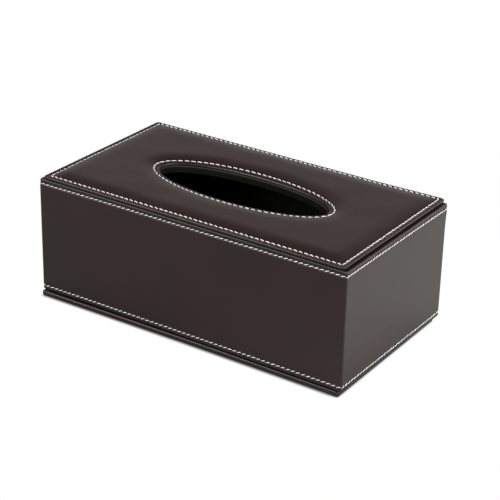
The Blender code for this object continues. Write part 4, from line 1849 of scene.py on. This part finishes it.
@dataclass
class HingeFold:
    """The leather that goes on from the back wall round the fold into the flap's cover.

    Its rows of points are fine within fine_half of the fold, and coarse from coarse_half.
    """

    skin: float = 0.0008
    top: float = 0.0072
    bottom: float = 0.0015
    sag: float = 0.0003
    margin: float = 0.0031
    step: float = 0.002
    rows: tuple[int, int, int] = (8, 9, 7)
    fine_half: float = 0.0007
    coarse_half: float = 0.0009
    bend_half: float = 0.0006
    lean_half: float = 0.0005
    sharp_degrees: float = 60.0

    def build(self, finishes: Finishes) -> None:
        """Make the strip: an upright outline carried along X, bent between the bodies.

        The outline goes in a straight line from the wall's face to the flap's, over
        lean_half to each side of the fold, and a bell hollows it there.

        Args:
            finishes: the materials of the cover.
        """
        wall_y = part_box("wall_leather")[1].y
        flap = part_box("flap_leather")[1]
        fold = frame["record"]["behaviour"]["joints"][0]["pos_m"][2]
        left = -half_size("wall_leather")[0] + self.margin
        right = flap.x - self.margin
        stretches = (
            (self.top, fold + self.coarse_half),
            (fold + self.fine_half, fold - self.fine_half),
            (fold - self.coarse_half, self.bottom),
        )
        heights = np.concatenate([np.linspace(*ends, count) for ends, count in zip(stretches, self.rows)])
        lean = np.clip((fold + self.lean_half - heights) / (2 * self.lean_half), 0, 1)
        outer = wall_y + (flap.y - wall_y) * lean - self.sag * bell(heights - fold, self.bend_half)
        ring_y = np.concatenate([outer, outer[::-1] - self.skin])
        ring_z = np.concatenate([heights, heights[::-1]])
        x = np.linspace(left, right, round((right - left) / self.step))
        grid = np.stack(np.broadcast_arrays(x[:, None], ring_y, ring_z), axis=2)
        draft = Draft()
        numbers = draft.add_points(grid)
        draft.add_skin(numbers, grid, (False, True))
        count = len(heights)
        for row, turned in ((numbers[0], True), (numbers[-1], False)):
            draft.add_ladder(row[:count], row[:count - 1:-1], turned)
        strip = draft.build("hinge_fold", self.sharp_degrees)
        finishes.dress(strip, Slot.LEATHER, "fold")
        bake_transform(strip)


@dataclass(frozen=True)
class Lamp:
    """One soft studio lamp, a square that looks at the cover."""

    name: str
    place: tuple[float, float, float]
    aim: tuple[float, float, float]
    size: float
    power: float
    colour: tuple[float, float, float] = (1.0, 1.0, 1.0)

    def hang(self) -> None:
        """Put the lamp in the scene."""
        data = bpy.data.lights.new(self.name, "AREA")
        data.shape = "SQUARE"
        data.size = self.size
        data.energy = self.power
        data.color = self.colour
        lamp = bpy.data.objects.new(self.name, data)
        lamp.location = self.place
        direction = Vector(self.aim) - Vector(self.place)
        lamp.rotation_euler = direction.to_track_quat("-Z", "Y").to_euler()
        bpy.context.scene.collection.objects.link(lamp)


@dataclass(frozen=True)
class Sky:
    """The dim room round the table: a grey for each quarter and height of the view."""

    heights: tuple[float, ...] = (0.0, 0.105, 0.208, 0.309, 0.423, 0.545, 0.707, 0.90, 1.0)
    turn_degrees: float = 33.4
    back_left: tuple[float, ...] = (0.10, 1.50, 0.15, 0.10, 1.15, 0.05, 0.0, 0.0, 0.0)
    back_right: tuple[float, ...] = (4.4, 4.4, 4.4, 0.0, 0.0, 0.0, 0.0, 0.0, 0.0)
    front_left: tuple[float, ...] = (0.0, 0.0, 0.0, 0.0, 0.0, 0.4, 0.5, 0.0, 0.0)
    front_right: tuple[float, ...] = (0.0, 0.0, 0.0, 0.0, 0.0, 0.0, 0.0, 0.0, 0.0)
    tint: tuple[float, float, float] = (1.05, 0.98, 0.97)

    def ramp(self, wiring: Wiring, height: Socket, greys: tuple[float, ...]) -> Socket:
        """Add a colour ramp from level to straight up.

        Args:
            wiring: the world's wiring.
            height: the direction's height.
            greys: the grey at each of the heights.

        Returns:
            The ramp's colour.
        """
        ramp = wiring.add("ValToRGB", {0: height})
        stops = ramp.color_ramp.elements
        while len(stops) < len(greys):
            stops.new(0.5)
        for stop, place, grey in zip(stops, self.heights, greys):
            stop.position = place
            stop.color = (*(grey * part for part in self.tint), 1.0)
        return ramp.outputs[0]

    def paint(self) -> None:
        """Paint the room. The camera sees it plain white.

        The share of each quarter is the square of the direction's part towards its
        middle, over the sum of the squares, so that neighbours run into each other.
        """
        world = bpy.data.worlds.new("studio_room")
        world.use_nodes = True
        bpy.context.scene.world = world
        wiring = Wiring(world.node_tree)
        direction = wiring.add("TexCoord").outputs["Generated"]
        height = wiring.add("SeparateXYZ", {0: direction}).outputs[2]
        turn = math.radians(self.turn_degrees)
        axes = ((-math.sin(turn), math.cos(turn), 0.0), (math.cos(turn), math.sin(turn), 0.0))
        parts = [wiring.part_along(direction, axis) for axis in axes]
        pairs = ((self.front_right, self.back_left), (self.front_left, self.back_right))
        halves = []
        for part, pair in zip(parts, pairs):
            ahead = wiring.math("GREATER_THAN", part, 0.0)
            halves.append(wiring.blend(ahead, *(self.ramp(wiring, height, side) for side in pair)))
        squares = [wiring.math("MULTIPLY", part, part) for part in parts]
        share = wiring.math("DIVIDE", squares[1], wiring.math("ADD", *squares))
        lit = wiring.blend(share, *halves)
        seen = wiring.add("LightPath").outputs["Is Camera Ray"]
        shown = wiring.blend(seen, lit, (1.0, 1.0, 1.0, 1.0))
        wiring.tree.links.new(shown, world.node_tree.nodes["Background"].inputs[0])


@dataclass(frozen=True)
class Studio:
    """A white table that glows softly, the dim room round it and the lamps.

    The camera sees table and room plain white, with a soft painted contact shadow round
    the cover, as in a cut-out product photograph. Light and reflections see the lit ones,
    whose glow has painted shade near the cover.
    """

    table_size: float = 6.0
    table_drop: float = 0.0002
    glow_front: Colour = (0.415, 0.45, 0.43, 1.0)
    glow_back: Colour = (1.0, 1.05, 1.02, 1.0)
    glow_span: Span = (-0.10, 0.10, 0.0, 1.0)
    glow_towards: tuple[float, float, float] = (0.55, 0.83, 0.0)
    # Ambient occlusion within near_reach paints shade into the glow; within shadow_reach it paints the
    # contact shadow the camera sees, lighter along the cover's right side.
    near_reach: float = 0.05
    near_samples: int = 8
    shadow_reach: float = 0.0022
    shadow_samples: int = 16
    shadow_span: Span = (0.42, 0.97, 0.30, 1.0)
    lighter_shadow_span: Span = (0.115, 0.121, 1.0, 1.35)
    sky: Sky = Sky()
    lamps: tuple[Lamp, ...] = (
        Lamp("key_lamp", (1.15, -0.30, 0.95), (0.0, 0.0, 0.05), 0.70, 21.0),
        Lamp("side_lamp", (-0.85, -1.25, 0.90), (0.0, 0.0, 0.05), 0.70, 23.5),
    )

    def build(self) -> None:
        """Lay the table, paint the room and hang the lamps."""
        half = self.table_size / 2
        mesh = bpy.data.meshes.new("table")
        z = -self.table_drop
        corners = [(-half, -half, z), (half, -half, z), (half, half, z), (-half, half, z)]
        mesh.from_pydata(corners, [], [(0, 1, 2, 3)])
        table = bpy.data.objects.new("table", mesh)
        bpy.context.scene.collection.objects.link(table)
        mesh.materials.append(self.table_material())
        self.sky.paint()
        for lamp in self.lamps:
            lamp.hang()
        bpy.context.scene.view_settings.view_transform = "Standard"

    def table_material(self) -> bpy.types.Material:
        """Make the table: a light box, white to the camera but for a painted contact shadow.

        Returns:
            The material.
        """
        material, wiring, shader = start_material("white_table", {})
        place = wiring.place(Follows.OBJECT)
        share = wiring.spread(wiring.part_along(place, self.glow_towards), self.glow_span)
        free, near = (
            wiring.add("AmbientOcclusion", {"Distance": reach}, samples=samples).outputs["AO"]
            for reach, samples in (
                (self.near_reach, self.near_samples), (self.shadow_reach, self.shadow_samples),
            )
        )
        # Painted shade: the glow dims near the cover by ambient occlusion.
        glow = wiring.add("Emission", {0: wiring.blend(share, self.glow_front, self.glow_back), 1: free})
        # Painted contact shadow for the camera, from ambient occlusion, lighter along the cover's right
        # side.
        side = wiring.add("SeparateXYZ", {0: place}).outputs[0]
        painted_shadow_share = wiring.math("MULTIPLY", near, wiring.spread(side, self.lighter_shadow_span))
        shown = wiring.add("Emission", {1: wiring.spread(painted_shadow_share, self.shadow_span)})
        chosen = wiring.add("MixShader", {
            0: wiring.add("LightPath").outputs["Is Camera Ray"], 1: glow.outputs[0], 2: shown.outputs[0],
        })
        output = material.node_tree.nodes["Material Output"]
        wiring.tree.links.new(chosen.outputs[0], output.inputs["Surface"])
        wiring.tree.nodes.remove(shader)
        return material


@dataclass(frozen=True)
class Viewpoint:
    """The photograph's camera: where it stands, how it is turned, and its lens."""

    azimuth: float = 33.43
    elevation: float = 25.51
    roll: float = 1.38
    distance: float = 1.2157
    lens: float = 116.13
    clip_start: float = 0.05
    target: tuple[float, float, float] = (-0.0376, 0.0702, 0.0080)

    def build(self) -> None:
        """Make the camera, looking at its target and rolled about its own line of sight."""
        azimuth, elevation, roll = map(math.radians, (self.azimuth, self.elevation, self.roll))
        back = Vector((
            math.sin(azimuth) * math.cos(elevation),
            -math.cos(azimuth) * math.cos(elevation),
            math.sin(elevation),
        ))
        level = Vector((0, 0, 1)).cross(back).normalized()
        upright = back.cross(level)
        right = level * math.cos(roll) + upright * math.sin(roll)
        up = upright * math.cos(roll) - level * math.sin(roll)
        data = bpy.data.cameras.new("photo_camera")
        data.lens = self.lens
        data.clip_start = self.clip_start
        camera = bpy.data.objects.new("photo_camera", data)
        turn = Matrix((right, up, back)).transposed().to_4x4()
        camera.matrix_world = Matrix.Translation(Vector(self.target) + back * self.distance) @ turn
        bpy.context.scene.collection.objects.link(camera)
        bpy.context.scene.camera = camera


def main() -> None:
    """Build the studio and every piece of the cover, in order."""
    logging.basicConfig(level=logging.INFO, format="%(name)s %(message)s")
    Viewpoint().build()
    Studio().build()
    finishes = Finishes()
    for assembly in (WallWrap(), PaddedTop(), OpeningLiner(), BaseFlap(), HingeFold()):
        assembly.build(finishes)
    slots = {part["node"]: part["material_slot"] for part in frame["record"]["subparts"]}
    finishes.dress_nodes(slots)


if __name__ == "__main__":
    main()
